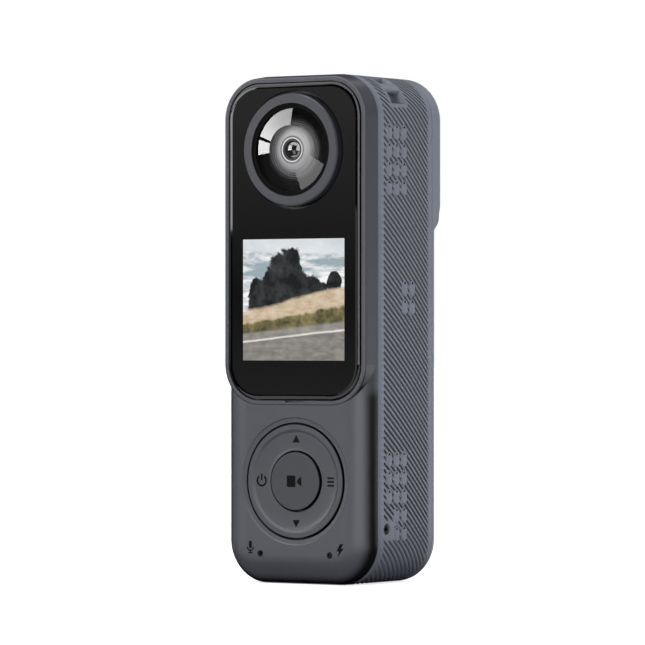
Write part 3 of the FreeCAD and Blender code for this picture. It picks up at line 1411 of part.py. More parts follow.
def speaker():
    """Small boxed speaker against the right wall, in front of the main board."""
    x1 = HALF_WIDTH - BAND_WALL - INSIDE_GAP
    low = MAIN_BOARD_LOW - SPEAKER_DOWN
    back = MAIN_BOARD_Y - SPEAKER_BOARD_GAP
    outline = (x1 - SPEAKER_WIDTH, x1, low, low + SPEAKER_HEIGHT, SPEAKER_CORNER)
    return plate(outline, back - SPEAKER_DEPTH, back)


def stadium(width, height, x0, x1, middle):
    """A bar along X with half-round ends, centred on the USB port."""
    half = height / 2
    z_in = width / 2 - half
    shape = box(x0, x1, middle - half, middle + half, USB_CENTRE_Z - z_in, USB_CENTRE_Z + z_in)
    for end in (-1, 1):
        base = Vector(x0, middle, USB_CENTRE_Z + end * z_in)
        shape = shape.fuse(Part.makeCylinder(half, x1 - x0, base, Vector(1, 0, 0)))
    return shape


def usb_c_receptacle():
    """Stadium-shaped metal shell with its tongue, soldered to the main board's front."""
    middle = MAIN_BOARD_Y - USB_HEIGHT / 2
    end = USB_MOUTH_X + USB_LENGTH
    shell = stadium(USB_WIDTH, USB_HEIGHT, USB_MOUTH_X, end, middle)
    inside = stadium(
        USB_WIDTH - 2 * USB_WALL, USB_HEIGHT - 2 * USB_WALL, USB_MOUTH_X - 1, end - USB_BACK_WALL, middle
    )
    tongue = box(
        USB_MOUTH_X + USB_TONGUE_DOWN, end - USB_BACK_WALL / 2,
        middle - USB_TONGUE_THICK / 2, middle + USB_TONGUE_THICK / 2,
        USB_CENTRE_Z - USB_TONGUE_WIDTH / 2, USB_CENTRE_Z + USB_TONGUE_WIDTH / 2,
    )
    return one(shell.cut(inside).fuse(tongue).removeSplitter())


def card_levels():
    """Front and back levels of the memory card."""
    back = MAIN_BOARD_Y - SOCKET_WALL - CARD_CLEAR
    return back - CARD_THICK, back


def card_socket():
    front, back = card_levels()
    half = CARD_WIDTH / 2 + CARD_CLEAR + SOCKET_WALL * 2
    start = CARD_END_X + SOCKET_MOUTH
    end = CARD_END_X + CARD_LENGTH + CARD_PUSH + SOCKET_END
    shape = box(
        start, end,
        front - CARD_CLEAR - SOCKET_WALL, MAIN_BOARD_Y,
        CARD_CENTRE_Z - half, CARD_CENTRE_Z + half,
    )
    slot_half = CARD_WIDTH / 2 + CARD_CLEAR
    slot = box(
        start - 1, CARD_END_X + CARD_LENGTH + CARD_PUSH + CARD_CLEAR,
        front - CARD_CLEAR, back + CARD_CLEAR, CARD_CENTRE_Z - slot_half, CARD_CENTRE_Z + slot_half,
    )
    return one(shape.cut(slot))


def memory_card():
    front, back = card_levels()
    half = CARD_WIDTH / 2
    body = box(
        CARD_END_X, CARD_END_X + CARD_LENGTH, front, back, CARD_CENTRE_Z - half, CARD_CENTRE_Z + half
    )
    notch = box(
        CARD_END_X + CARD_LENGTH - CARD_NOTCH_LENGTH, CARD_END_X + CARD_LENGTH + 1,
        front - 1, back + 1, CARD_CENTRE_Z + half - CARD_NOTCH, CARD_CENTRE_Z + half + 1,
    )
    grip = box(
        CARD_END_X + CARD_GRIP_IN, CARD_END_X + CARD_GRIP_IN + CARD_GRIP_WIDTH,
        front - 1, front + CARD_GRIP_DEPTH,
        CARD_CENTRE_Z - half + CARD_GRIP_MARGIN, CARD_CENTRE_Z + half - CARD_GRIP_MARGIN,
    )
    return one(body.cut(notch).cut(grip))


def port_door():
    """Flush door with a rounded hinge edge, a pin bore and a nail notch at its free edge."""
    y0, y1, z0, z1 = door_outline()
    outer = -HALF_WIDTH
    body = box(outer, outer + DOOR_THICK, y0, y1, z0, z1)
    free = [edge for edge in body.Edges if edge_at(edge, y1) and edge.Length > z1 - z0 - TINY]
    body = body.makeFillet(DOOR_EDGE, free[:1])
    knuckle = Part.makeCylinder(DOOR_KNUCKLE_R, z1 - z0, Vector(DOOR_PIN_X, y0, z0))
    shape = body.fuse(knuckle)
    bore = Part.makeCylinder(DOOR_PIN_R + DOOR_PIN_CLEAR, z1 - z0 + 2, Vector(DOOR_PIN_X, y0, z0 - 1))
    shape = shape.cut(bore)
    middle = (z0 + z1) / 2
    notch = Part.makeCylinder(
        DOOR_NOTCH_R, 1 + DOOR_NOTCH_DEPTH, Vector(outer - 1, y1 + DOOR_NOTCH_OFF, middle), Vector(1, 0, 0)
    )
    return one(shape.cut(notch).removeSplitter())


def edge_at(edge, y):
    return all(abs(vertex.Point.y - y) < TINY for vertex in edge.Vertexes)


def port_door_gasket():
    y0 = PORT_WINDOW_FRONT + GASKET_GAP
    y1 = PORT_WINDOW_REAR - GASKET_GAP
    z0 = PORT_WINDOW_LOW + GASKET_GAP
    z1 = PORT_WINDOW_HIGH - GASKET_GAP
    x0 = -HALF_WIDTH + DOOR_THICK
    shape = box(x0, x0 + GASKET_DEPTH, y0, y1, z0, z1)
    inner = box(
        x0 - 1, x0 + GASKET_DEPTH + 1,
        y0 + GASKET_WALL, y1 - GASKET_WALL, z0 + GASKET_WALL, z1 - GASKET_WALL,
    )
    return one(shape.cut(inner))


def port_door_pin():
    y0, y1, z0, z1 = door_outline()
    return Part.makeCylinder(
        DOOR_PIN_R, z1 - z0 + 2 * DOOR_PIN_SEAT, Vector(DOOR_PIN_X, DOOR_PIN_Y, z0 - DOOR_PIN_SEAT)
    )


def rear_glass():
    back = COVER_LEVEL - REAR_GLASS_THICK
    return one(pillow(REAR_GLASS_OUTLINE, back, COVER_LEVEL, REAR_GLASS_ROUND, REAR_GLASS_ROUND_DEPTH))


def rear_glass_seal():
    back = COVER_LEVEL - REAR_GLASS_THICK
    shape = plate(REAR_GLASS_OUTLINE, back - SEAL_THICK, back)
    return one(shape.cut(plate(grown(REAR_PANEL_OUTLINE, PANEL_GAP), back - 1, back + 1)))


def rear_panel_levels():
    back = COVER_LEVEL - REAR_GLASS_THICK
    return back - REAR_PANEL_THICK, back


def rear_display_panel():
    front, back = rear_panel_levels()
    return plate(REAR_PANEL_OUTLINE, front, back)


def rear_display_flex():
    """Ribbon folded from the panel's top edge down to the main board."""
    front, back = rear_panel_levels()
    low = REAR_PANEL_OUTLINE[3]
    top = low + REAR_FLEX_RISE
    x1 = REAR_FLEX_X + REAR_FLEX_WIDTH
    rise = box(REAR_FLEX_X, x1, front, front + FLEX_THICK, low, top)
    across = box(REAR_FLEX_X, x1, MAIN_BOARD_BACK, front + FLEX_THICK, top - FLEX_THICK, top)
    return one(rise.fuse(across).removeSplitter())


def side_screws():
    """Socket screws that clamp the band to the front housing's lugs."""
    screws = []
    for side in (-1, 1):
        head_top = side * (HALF_WIDTH - SIDE_SCREW_DOWN)
        head_foot = head_top - side * SIDE_SCREW_HEAD
        axis = Vector(-side, 0, 0)
        head = Part.makeCylinder(
            SIDE_SCREW_HEAD_R, SIDE_SCREW_HEAD, Vector(head_top, SIDE_SCREW_Y, SIDE_SCREW_Z), axis
        )
        shaft = Part.makeCylinder(
            SIDE_SCREW_SHAFT_R, SIDE_SCREW_LENGTH, Vector(head_foot, SIDE_SCREW_Y, SIDE_SCREW_Z), axis
        )
        socket = hex_prism(head_top, side, SIDE_SCREW_SOCKET_R, SIDE_SCREW_SOCKET_DEPTH)
        screws.append(one(head.fuse(shaft).cut(socket).removeSplitter()))
    return group(screws)


def hex_prism(x, side, radius, depth):
    points = []
    for corner in range(6):
        angle = math.radians(60 * corner)
        y = SIDE_SCREW_Y + radius * math.cos(angle)
        points.append(Vector(x, y, SIDE_SCREW_Z + radius * math.sin(angle)))
    points.append(points[0])
    return Part.Face(Part.makePolygon(points)).extrude(Vector(-side * depth, 0, 0))


def tripod_insert():
    """Brass insert with a flush flange and a blind bore at the thread's minor size."""
    body = Part.makeCylinder(TRIPOD_INSERT_R, TRIPOD_INSERT_HEIGHT)
    flange = Part.makeCylinder(TRIPOD_FLANGE_R, TRIPOD_FLANGE_THICK)
    bore = Part.makeCylinder(TRIPOD_BORE_R, TRIPOD_DEPTH)
    return one(body.fuse(flange).cut(bore).removeSplitter())


NODES = {
    "front_housing": front_housing,
    "grip_band": grip_band,
    "rear_cover": rear_cover,
    "rear_cover_seal": rear_cover_seal,
    "front_glass": front_glass,
    "front_glass_seal": front_glass_seal,
    "front_display_panel": front_display_panel,
    "display_adhesive": display_adhesive,
    "front_display_flex": front_display_flex,
    "lens_ring": lens_ring,
    "lens_retainer": lens_retainer,
    "lens_cover_glass": lens_cover_glass,
    "lens_hood": lens_hood,
    "lens_nose": lens_nose,
    "lens_element_ring": lens_element_ring,
    "lens_front_element": lens_front_element,
    "lens_barrel": lens_barrel,
    "lens_rear_elements": lens_rear_elements,
    "lens_holder": lens_holder,
    "lens_screws": lens_screws,
    "ir_filter": ir_filter,
    "image_sensor": image_sensor,
    "sensor_board": sensor_board,
    "sensor_connector": sensor_connector,
    "inner_frame": inner_frame,
    "main_board": main_board,
    "board_screws": board_screws,
    "processor_shield": processor_shield,
    "memory_chips": memory_chips,
    "heat_pad": heat_pad,
    "heat_spreader": heat_spreader,
    "wifi_antenna": wifi_antenna,
    "key_board": key_board,
    "key_board_screws": key_board_screws,
    "key_domes": key_domes,
    "key_board_flex": key_board_flex,
    "ring_carrier": ring_carrier,
    "ring_key": ring_key,
    "record_button": record_button,
    "led_light_pipe": led_light_pipe,
    "status_led": status_led,
    "microphone": microphone,
    "microphone_gasket": microphone_gasket,
    "battery": battery,
    "battery_foam": battery_foam,
    "battery_board": battery_board,
    "battery_leads": battery_leads,
    "speaker": speaker,
    "usb_c_receptacle": usb_c_receptacle,
    "card_socket": card_socket,
    "memory_card": memory_card,
    "port_door": port_door,
    "port_door_gasket": port_door_gasket,
    "port_door_pin": port_door_pin,
    "rear_glass": rear_glass,
    "rear_glass_seal": rear_glass_seal,
    "rear_display_panel": rear_display_panel,
    "rear_display_flex": rear_display_flex,
    "side_screws": side_screws,
    "tripod_insert": tripod_insert,
}


def main():
    os.makedirs("parts", exist_ok=True)
    for name, make in NODES.items():
        shape = make()
        shape.exportStep("parts/" + name + ".step")
        print(name, "solids", len(shape.Solids), "valid", shape.isValid(), "volume", round(shape.Volume, 2))


main()
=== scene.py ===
# %% [markdown]
# A handheld vlogging camera, dressed around its packed construction.
# The solids, their places and their joints come from the frame, in metres.
# This script adds what the eye sees: finishes, ribs, printed marks, pads and the lit display.

# %% Load the frame
import bpy
import bmesh
import math
import numpy as np
from mathutils import Matrix, Vector
from mathutils.bvhtree import BVHTree


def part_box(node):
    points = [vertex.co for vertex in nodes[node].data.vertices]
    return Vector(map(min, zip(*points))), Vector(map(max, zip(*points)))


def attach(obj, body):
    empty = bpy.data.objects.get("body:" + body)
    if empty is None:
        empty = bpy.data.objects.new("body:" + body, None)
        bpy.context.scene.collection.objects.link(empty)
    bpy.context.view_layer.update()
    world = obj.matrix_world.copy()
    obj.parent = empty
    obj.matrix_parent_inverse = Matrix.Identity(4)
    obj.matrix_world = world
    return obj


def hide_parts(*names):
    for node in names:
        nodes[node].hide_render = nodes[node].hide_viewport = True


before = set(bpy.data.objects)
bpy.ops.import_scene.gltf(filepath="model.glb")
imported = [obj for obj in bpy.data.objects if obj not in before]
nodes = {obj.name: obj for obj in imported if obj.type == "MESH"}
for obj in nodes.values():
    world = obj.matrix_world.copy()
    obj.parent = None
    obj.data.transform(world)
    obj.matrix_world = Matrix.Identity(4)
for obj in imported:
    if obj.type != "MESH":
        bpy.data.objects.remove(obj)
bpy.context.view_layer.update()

MM = 0.001
# The lens's axis and front, and the ring key's axis in mm, as the marks are.
LENS_HEIGHT = 83.7 * MM
LENS_FRONT = -14 * MM
KEY_Z = 19.9

# %% [markdown]
# The photograph is a long-lens studio picture, level with the lower third of the camera.
# A long lens keeps the sides parallel, so it is matched by its distance, aim and focal length.
# The camera stands at 33 degrees to the right of the front and looks very slightly upwards.

# %% Camera
PHOTO_SIDE = 645
FOCAL_PIXELS = 4498
SENSOR_WIDTH = 36.0
VIEW_AZIMUTH = math.radians(33.3)
VIEW_DISTANCE = 873.7 * MM
AIM = Vector((0, -3.6 * MM, 50.5 * MM))
EYE_HEIGHT = 46.9 * MM
CLIP_NEAR, CLIP_FAR = 0.01, 50


def linked(name, data):
    """An object with that mesh, camera or lamp, in the scene."""
    item = bpy.data.objects.new(name, data)
    bpy.context.scene.collection.objects.link(item)
    return item


eye_direction = Vector((math.sin(VIEW_AZIMUTH), -math.cos(VIEW_AZIMUTH), 0))
eye = AIM + eye_direction * VIEW_DISTANCE
eye.z = EYE_HEIGHT
camera_data = bpy.data.cameras.new("studio_camera")
camera_data.sensor_width = SENSOR_WIDTH
camera_data.lens = FOCAL_PIXELS * SENSOR_WIDTH / PHOTO_SIDE
camera_data.clip_start, camera_data.clip_end = CLIP_NEAR, CLIP_FAR
camera = linked("studio_camera", camera_data)
camera.location = eye
camera.rotation_mode = "QUATERNION"
camera.rotation_quaternion = (AIM - eye).to_track_quat("-Z", "Y")
bpy.context.scene.camera = camera
print("lens in mm:", round(camera_data.lens, 1), "eye:", [round(v / MM, 1) for v in eye])

# %% [markdown]
# Colours are written as sRGB hex values, as a paint chart gives them.
# Blender's shaders count in linear light, so one function turns each value.
# A second small function adds a node with its settings and its links; inputs in order are those of
# the node, so a Map Range's are the value, the range that it comes from, and the one it goes to.
# The others start a material and make a mesh from its points and faces.


# %% Colour and node helpers
def linear(hex_colour):
    """An sRGB hex value as the linear colour that a shader takes."""
    levels = [int(hex_colour[i:i + 2], 16) / 255 for i in (1, 3, 5)]
    return tuple(v / 12.92 if v <= 0.04045 else ((v + 0.055) / 1.055) ** 2.4 for v in levels) + (1.0,)


def add_node(tree, kind, inputs=(), **settings):
    """A node; its inputs, by name or in order, are values, output sockets, or nodes that feed it."""
    node = tree.nodes.new(kind)
    for name, value in settings.items():
        setattr(node, name, value)
    for name, value in inputs.items() if isinstance(inputs, dict) else enumerate(inputs):
        if isinstance(value, bpy.types.Node):
            value = next(socket for socket in value.outputs if socket.enabled)
        if isinstance(value, bpy.types.NodeSocket):
            tree.links.new(value, node.inputs[name])
        else:
            node.inputs[name].default_value = value
    return node


def new_material(name):
    """A material, its node tree, and the socket with the place on the object."""
    material = bpy.data.materials.new(name)
    material.use_nodes = True
    tree = material.node_tree
    tree.nodes.clear()
    return material, tree, add_node(tree, "ShaderNodeTexCoord").outputs["Object"]


def new_mesh(name, points, faces):
    """A mesh from its points and faces."""
    mesh = bpy.data.meshes.new(name)
    mesh.from_pydata(points, [], faces)
    return mesh


print("mid grey in linear light:", round(linear("#808080")[0], 3))

# %% [markdown]
# The floor is a pale sweep. The camera sees it as white paper, while its diffuse part keeps the
# soft shadow under the camera. Mirror and glass rays see the same pale studio. Its glow rises with
# the distance, so that no horizon line shows.


# %% Floor
FLOOR_HALF = 6.0
PAPER = "#e9eaec"
PAPER_GLOW = 0.72
GLOW_NEAR = 0.12
GLOW_FAR = 0.6
WHITE = (1, 1, 1, 1)


def seen_or_mirrored(tree):
    """1 for rays of the camera, of mirrors and of glass, 0 for all others."""
    path = add_node(tree, "ShaderNodeLightPath")
    seen = path.outputs["Is Camera Ray"]
    for kind in ("Is Glossy Ray", "Is Transmission Ray"):
        seen = add_node(tree, "ShaderNodeMath", [seen, path.outputs[kind]], operation="MAXIMUM")
    return seen


corners = [(-1, -1), (1, -1), (1, 1), (-1, 1)]
floor_mesh = new_mesh("floor", [(FLOOR_HALF * x, FLOOR_HALF * y, 0.0) for x, y in corners], [(0, 1, 2, 3)])
floor = linked("floor", floor_mesh)

paper, tree, place = new_material("studio_paper")
away = add_node(tree, "ShaderNodeVectorMath", [place], operation="LENGTH")
rise = add_node(tree, "ShaderNodeMapRange", [away, GLOW_NEAR, GLOW_FAR, PAPER_GLOW])
glow_level = add_node(tree, "ShaderNodeMath", [seen_or_mirrored(tree), rise], operation="MULTIPLY")
glow = add_node(tree, "ShaderNodeEmission", {"Color": WHITE, "Strength": glow_level})
matt = add_node(tree, "ShaderNodeBsdfDiffuse", {"Color": linear(PAPER)})
both = add_node(tree, "ShaderNodeAddShader", [glow, matt])
add_node(tree, "ShaderNodeOutputMaterial", {"Surface": both})
floor_mesh.materials.append(paper)
print("floor side in metres:", 2 * FLOOR_HALF)

# %% [markdown]
# Around the camera stands a soft white studio. Its world is white where it is looked at and
# gives an even, lower ambient light to matt surfaces.

# %% World
AMBIENT = 0.3

world = bpy.data.worlds.new("white_studio")
bpy.context.scene.world = world
world.use_nodes = True
tree = world.node_tree
tree.nodes.clear()
level = add_node(tree, "ShaderNodeMapRange", [seen_or_mirrored(tree), 0, 1, AMBIENT])
background = add_node(tree, "ShaderNodeBackground", {"Color": WHITE, "Strength": level})
add_node(tree, "ShaderNodeOutputWorld", {"Surface": background})
bpy.context.scene.view_settings.view_transform = "Standard"
print("ambient share:", AMBIENT)

# %% [markdown]
# Black glass looks black only if something dark stands where it mirrors. Product photographers
# put black cards there, with a softbox beside them that draws one clean bright shape in the lens;
# a gap in the softbox's face draws the dark bar across it. All are curved sheets round the lens that
# only mirror rays meet, so they change reflections and nothing else.


# %% Cards and softboxes
CARD_STEPS = 12
SOFTBOX_LEVEL = 5.5


def from_lens(azimuth, elevation, distance):
    """A point seen from the lens at an azimuth (0 is straight ahead) and elevation in degrees."""
    a = math.radians(azimuth)
    e = math.radians(elevation)
    lens = Vector((0, LENS_FRONT, LENS_HEIGHT))
    return lens + distance * Vector((math.sin(a) * math.cos(e), -math.cos(a) * math.cos(e), math.sin(e)))


def stage_sheet(name, points, faces, strength):
    """A glowing or black sheet that only mirror rays meet; its back lets them through."""
    mesh = new_mesh(name, points, faces)
    material, tree, place = new_material(name)
    face = add_node(tree, "ShaderNodeEmission", {"Color": WHITE, "Strength": strength})
    back = add_node(tree, "ShaderNodeNewGeometry").outputs["Backfacing"]
    through = add_node(tree, "ShaderNodeBsdfTransparent")
    both = add_node(tree, "ShaderNodeMixShader", [back, face, through])
    add_node(tree, "ShaderNodeOutputMaterial", {"Surface": both})
    mesh.materials.append(material)
    sheet = linked(name, mesh)
    for ray in ("camera", "diffuse", "transmission", "volume_scatter", "shadow"):
        setattr(sheet, "visible_" + ray, False)
    return tree, place, face


def card(name, azimuths, elevations, distance, strength):
    """A curved card between two azimuths and two elevations; strength 0 makes it black."""
    points = [from_lens(azimuth, elevation, distance)
              for azimuth in np.linspace(*azimuths, CARD_STEPS + 1)
              for elevation in np.linspace(*elevations, CARD_STEPS + 1)]
    firsts = [i * (CARD_STEPS + 1) + j for i in range(CARD_STEPS) for j in range(CARD_STEPS)]
    faces = [(k, k + 1, k + CARD_STEPS + 2, k + CARD_STEPS + 1) for k in firsts]
    return stage_sheet(name, points, faces, strength)


# Name, azimuths and elevations from the lens in degrees, distance in metres, strength.
card("softbox_face_low", (-66, -36), (0.5, 7.0), 1.0, SOFTBOX_LEVEL)
high_sheet = card("softbox_face_high", (-66, -36), (8.6, 26), 1.0, SOFTBOX_LEVEL)
for card_settings in (
        ("softbox_top", (-80, 40), (28, 80), 1.1, 2.6),
        ("softbox_right", (-2, 37), (-24, 27.5), 1.1, 3.0),
        ("dim_card_low", (-28, -9), (-23, -2), 0.19, 0.9),
        ("black_card_front", (-71, -2.2), (-30, 27.8), 1.2, 0.0),
        ("black_card_right", (37.5, 176), (-30, 60), 1.2, 0.06),
        ("grey_card_left", (-92, -71), (-30, 60), 1.2, 0.5),
        ("black_card_left", (-170, -92), (-30, 60), 1.2, 0.0)):
    card(*card_settings)
print("softbox strength:", SOFTBOX_LEVEL)

# %% [markdown]
# The flat front glass mirrors only a narrow strip of what stands ahead. A dark grey strip hangs
# there that grows a little lighter above and below its middle, which gives the glass its soft
# gradient. The high softbox fades upwards in the same way.


# %% Strip ahead and fades
def fade(sheet, middle, spread, near_level, far_level):
    """The sheet's strength goes from one level at a height to another away from it."""
    tree, place, face = sheet
    height = add_node(tree, "ShaderNodeSeparateXYZ", {"Vector": place})
    offset = add_node(tree, "ShaderNodeMath", [height.outputs["Z"], middle], operation="SUBTRACT")
    offset = add_node(tree, "ShaderNodeMath", [offset], operation="ABSOLUTE")
    level = add_node(tree, "ShaderNodeMapRange", [offset, 0, spread, near_level, far_level])
    tree.links.new(level.outputs["Result"], face.inputs["Strength"])


STRIP_LEVELS = 0.12, 0.5
strip = card("grey_strip_front", (-37.5, -29), (-4, 5), 1.1, STRIP_LEVELS[0])
fade(strip, 66 * MM, 95 * MM, *STRIP_LEVELS)
fade(high_sheet, 230 * MM, 300 * MM, SOFTBOX_LEVEL, 0.38 * SOFTBOX_LEVEL)
print("strip levels:", STRIP_LEVELS)

# %% [markdown]
# Black flags lie on the floor, in front and behind to the left, where only mirror rays meet them.
# They keep the lower left of the lens, the left outline and the rounded lower edges dark against the
# white background. A light patch in front draws the thin bright line under and beside the glass.


# %% Floor flags
def floor_sheet(name, corners, lift, strength):
    """A stage sheet just above the floor, its corners counterclockwise from above, in metres."""
    stage_sheet(name, [(x, y, lift) for x, y in corners], [tuple(range(len(corners)))], strength)


FLAG_LIFT = 0.2 * MM
LIGHT_TURNS = range(-60, 61, 10)
LIGHT_START = 0.04
LIGHT_END = 0.16
LIGHT_END_RIGHT = 0.6
floor_sheet("floor_flag", [
    (-0.03, 0.0), (-0.3, -0.05), (-1.2, -0.4), (-1.2, -1.2), (0.5, -1.2), (0.5, 0.1), (0.0, 0.02)],
            FLAG_LIFT, 0.0)
floor_sheet("floor_flag_left", [
    (-0.5, 1.2), (-1.2, 1.2), (-1.2, -0.4), (-0.3, -0.04), (-0.02, 0.005)], FLAG_LIFT, 0.0)
light_edge = [(LIGHT_END_RIGHT if turn > 5 else LIGHT_END, turn) for turn in LIGHT_TURNS]
light_edge += [(LIGHT_START, turn) for turn in reversed(LIGHT_TURNS)]
floor_sheet("floor_light", [
    (reach * math.sin(math.radians(turn)), -reach * math.cos(math.radians(turn)))
    for reach, turn in light_edge], 2 * FLAG_LIFT, 1.3)
print("corners of the light patch:", len(light_edge))

# %% [markdown]
# Four broad lamps light the matt surfaces. They stay out of the mirrors, which the cards fill, so
# that light and reflection are set apart. The one behind at the right lights the ribbed side.

# %% Lamps
# Name, azimuth and elevation in degrees, distance and side in metres, watts.
for name, azimuth, elevation, distance, side, watts in (
        ("key_light", -30, 34, 1.1, 0.55, 4.6), ("front_light", 10, 8, 1.3, 0.5, 3.4),
        ("back_light", 143, 30, 1.1, 0.6, 7.4), ("top_light", 0, 85, 1.0, 0.7, 1.8)):
    data = bpy.data.lights.new(name, "AREA")
    data.size = side
    data.energy = watts
    light = linked(name, data)
    light.location = from_lens(azimuth, elevation, distance)
    light.rotation_mode = "QUATERNION"
    light.rotation_quaternion = (AIM - light.location).to_track_quat("-Z", "Y")
    light.visible_glossy = False
    print(name, "watts:", watts)

# %% [markdown]
# The body is moulded in slate coloured polycarbonate from spark-eroded tools.
# To the eye that is a satin matt skin with a very fine even grain and hardly any colour change.
# The real grain is near 0.05 mm, too fine to show here, so it is drawn at 0.22 mm.


# %% Moulded slate plastic
BROAD_PATCH = 9 * MM
TINT_CHANGE = 0.07
GLOSS_CHANGE = 0.05
GRAIN_RELIEF = 0.012 * MM


def moulded_slate(name, colour, roughness, grain=0.22, bump=0.35, ior=1.5, shade=None,
                  painted_shading_colour="#030304"):
    """Satin moulded plastic; grain is in mm, shade gives the share of painted shading, laid on in
    painted_shading_colour.
    """
    material, tree, place = new_material(name)
    fine = add_node(tree, "ShaderNodeTexNoise", {"Vector": place, "Scale": 1 / (grain * MM), "Detail": 2.0})
    broad = add_node(tree, "ShaderNodeTexNoise", {"Vector": place, "Scale": 1 / BROAD_PATCH, "Detail": 3.0})
    dark, light = (tuple(v * share for v in linear(colour)[:3]) + (1.0,)
                   for share in (1 - TINT_CHANGE, 1 + TINT_CHANGE))
    skin = add_node(tree, "ShaderNodeMix", {"Factor": broad, "A": dark, "B": light}, data_type="RGBA")
    gloss = add_node(tree, "ShaderNodeMapRange", [
        fine, 0, 1, roughness - GLOSS_CHANGE, roughness + GLOSS_CHANGE])
    relief = add_node(tree, "ShaderNodeBump", {"Height": fine, "Strength": bump, "Distance": GRAIN_RELIEF})
    # Painted shading: where shade gives a share, a colour that stands in for light and shade is mixed in.
    if shade is not None:
        skin = add_node(tree, "ShaderNodeMix", {
            "Factor": shade(tree, place), "A": skin, "B": linear(painted_shading_colour)}, data_type="RGBA")
    shader = add_node(tree, "ShaderNodeBsdfPrincipled", {
        "Base Color": skin, "Roughness": gloss, "Normal": relief, "IOR": ior})
    add_node(tree, "ShaderNodeOutputMaterial", {"Surface": shader})
    return material

# %% [markdown]
# A few places get painted shade, a darker colour that stands in for shade the lamps alone don't give:
# the rounding beside the lower face, the underside of the upper part, the foot of the band and the
# side walls of the keys. At the foot of the band the grooves are painted lighter, so the ribs fade as in
# shade.


# %% Where shade is painted on the plastic
ROUNDING_Y = -12.6 * MM, -11.2 * MM
ROUNDING_TOP = 36 * MM, 38 * MM
ROUNDING_PAINTED_SHADE = 0.94
UNDERSIDE_FOOT = 32.5 * MM, 33.5 * MM
UNDERSIDE_TILT = -0.02, -0.3
UNDERSIDE_PAINTED_SHADE = 0.88
WALL_FADE = 0.1 * MM


def rounding_share(tree, place):
    """Painted shade on the rounding between the lower face and the ribs, and on the underside of the upper
    part.
    """
    where = add_node(tree, "ShaderNodeSeparateXYZ", {"Vector": place})
    back = add_node(tree, "ShaderNodeMapRange", [where.outputs["Y"], *ROUNDING_Y],
                    interpolation_type="SMOOTHSTEP")
    below = add_node(tree, "ShaderNodeMapRange", [where.outputs["Z"], *ROUNDING_TOP, ROUNDING_PAINTED_SHADE, 0])
    normal = add_node(tree, "ShaderNodeNewGeometry").outputs["Normal"]
    facing = add_node(tree, "ShaderNodeSeparateXYZ", {"Vector": normal})
    downward = add_node(tree, "ShaderNodeMapRange", [facing.outputs["Z"], *UNDERSIDE_TILT, 0, UNDERSIDE_PAINTED_SHADE])
    above = add_node(tree, "ShaderNodeMapRange", [where.outputs["Z"], *UNDERSIDE_FOOT])
    rounding = add_node(tree, "ShaderNodeMath", [back, below], operation="MULTIPLY")
    underside = add_node(tree, "ShaderNodeMath", [downward, above], operation="MULTIPLY")
    return add_node(tree, "ShaderNodeMath", [rounding, underside], operation="MAXIMUM")


def foot_share(depth, high, low):
    """Painted shade on the foot of the band, from one height in mm down to another."""
    def share(tree, place):
        where = add_node(tree, "ShaderNodeSeparateXYZ", {"Vector": place})
        return add_node(tree, "ShaderNodeMapRange", [where.outputs["Z"], high * MM, low * MM, 0, depth])
    return share


def axis_distance(tree, place, height):
    """How far a point is from the axis that runs from front to back at a height."""
    shifted = add_node(tree, "ShaderNodeVectorMath", [place, (0, 0, height)], operation="SUBTRACT")
    flat = add_node(tree, "ShaderNodeVectorMath", [shifted, (1, 0, 1)], operation="MULTIPLY")
    return add_node(tree, "ShaderNodeVectorMath", [flat], operation="LENGTH")


def key_wall_share(wall_radius):
    """The side walls of a key, painted black: a painted shadow line round each key."""
    def share(tree, place):
        radius = axis_distance(tree, place, KEY_Z * MM)
        return add_node(tree, "ShaderNodeMapRange", [radius, wall_radius - WALL_FADE, wall_radius])
    return share


# Painted shade: the crests darken at the foot of the band, and the pads' notches and the grooves are painted
# darker than the crests as shade in those hollows. The grooves turn lighter at the foot, as the ribs fade in
# shade.
slate_band = moulded_slate("slate_polycarbonate_ribbed", "#757985", 0.5, shade=foot_share(0.42, 12, 2))
notch_painted_shade = moulded_slate("slate_polycarbonate_notch_painted_shade", "#202126", 0.6)
groove_painted_shade = moulded_slate("slate_polycarbonate_groove_painted_shade", "#43454b", 0.6, shade=foot_share(0.8, 13, 5),
                             painted_shading_colour="#62656e")
print("finishes of the band:", slate_band.name, notch_painted_shade.name, groove_painted_shade.name)

# %% [markdown]
# Metal, glass and the inner parts get finishes of their own. The front glass is printed black
# from behind, so it is a deep glossy black. The plastic round the lens is turned: fine rings, and
# bands of tone by radius. On the nose a near-white band is a painted highlight: the bright line round
# the small front element. The lens window is coated, so it lets light through and mirrors little, more at its
# sloping rim.


# %% Glass and metal
def polished(name, colour, roughness, metallic=0.0, ior=1.5, smudge=0.02):
    """A polished or coated surface with a faint uneven polish."""
    material, tree, place = new_material(name)
    wipe = add_node(tree, "ShaderNodeTexNoise", {"Vector": place, "Scale": 1 / (6 * MM), "Detail": 4.0})
    gloss = add_node(tree, "ShaderNodeMapRange", [wipe, 0, 1, roughness, roughness + smudge])
    shader = add_node(tree, "ShaderNodeBsdfPrincipled", {
        "Base Color": linear(colour), "Roughness": gloss, "Metallic": metallic, "IOR": ior})
    add_node(tree, "ShaderNodeOutputMaterial", {"Surface": shader})
    return material


TURNED_RELIEF = 0.03 * MM


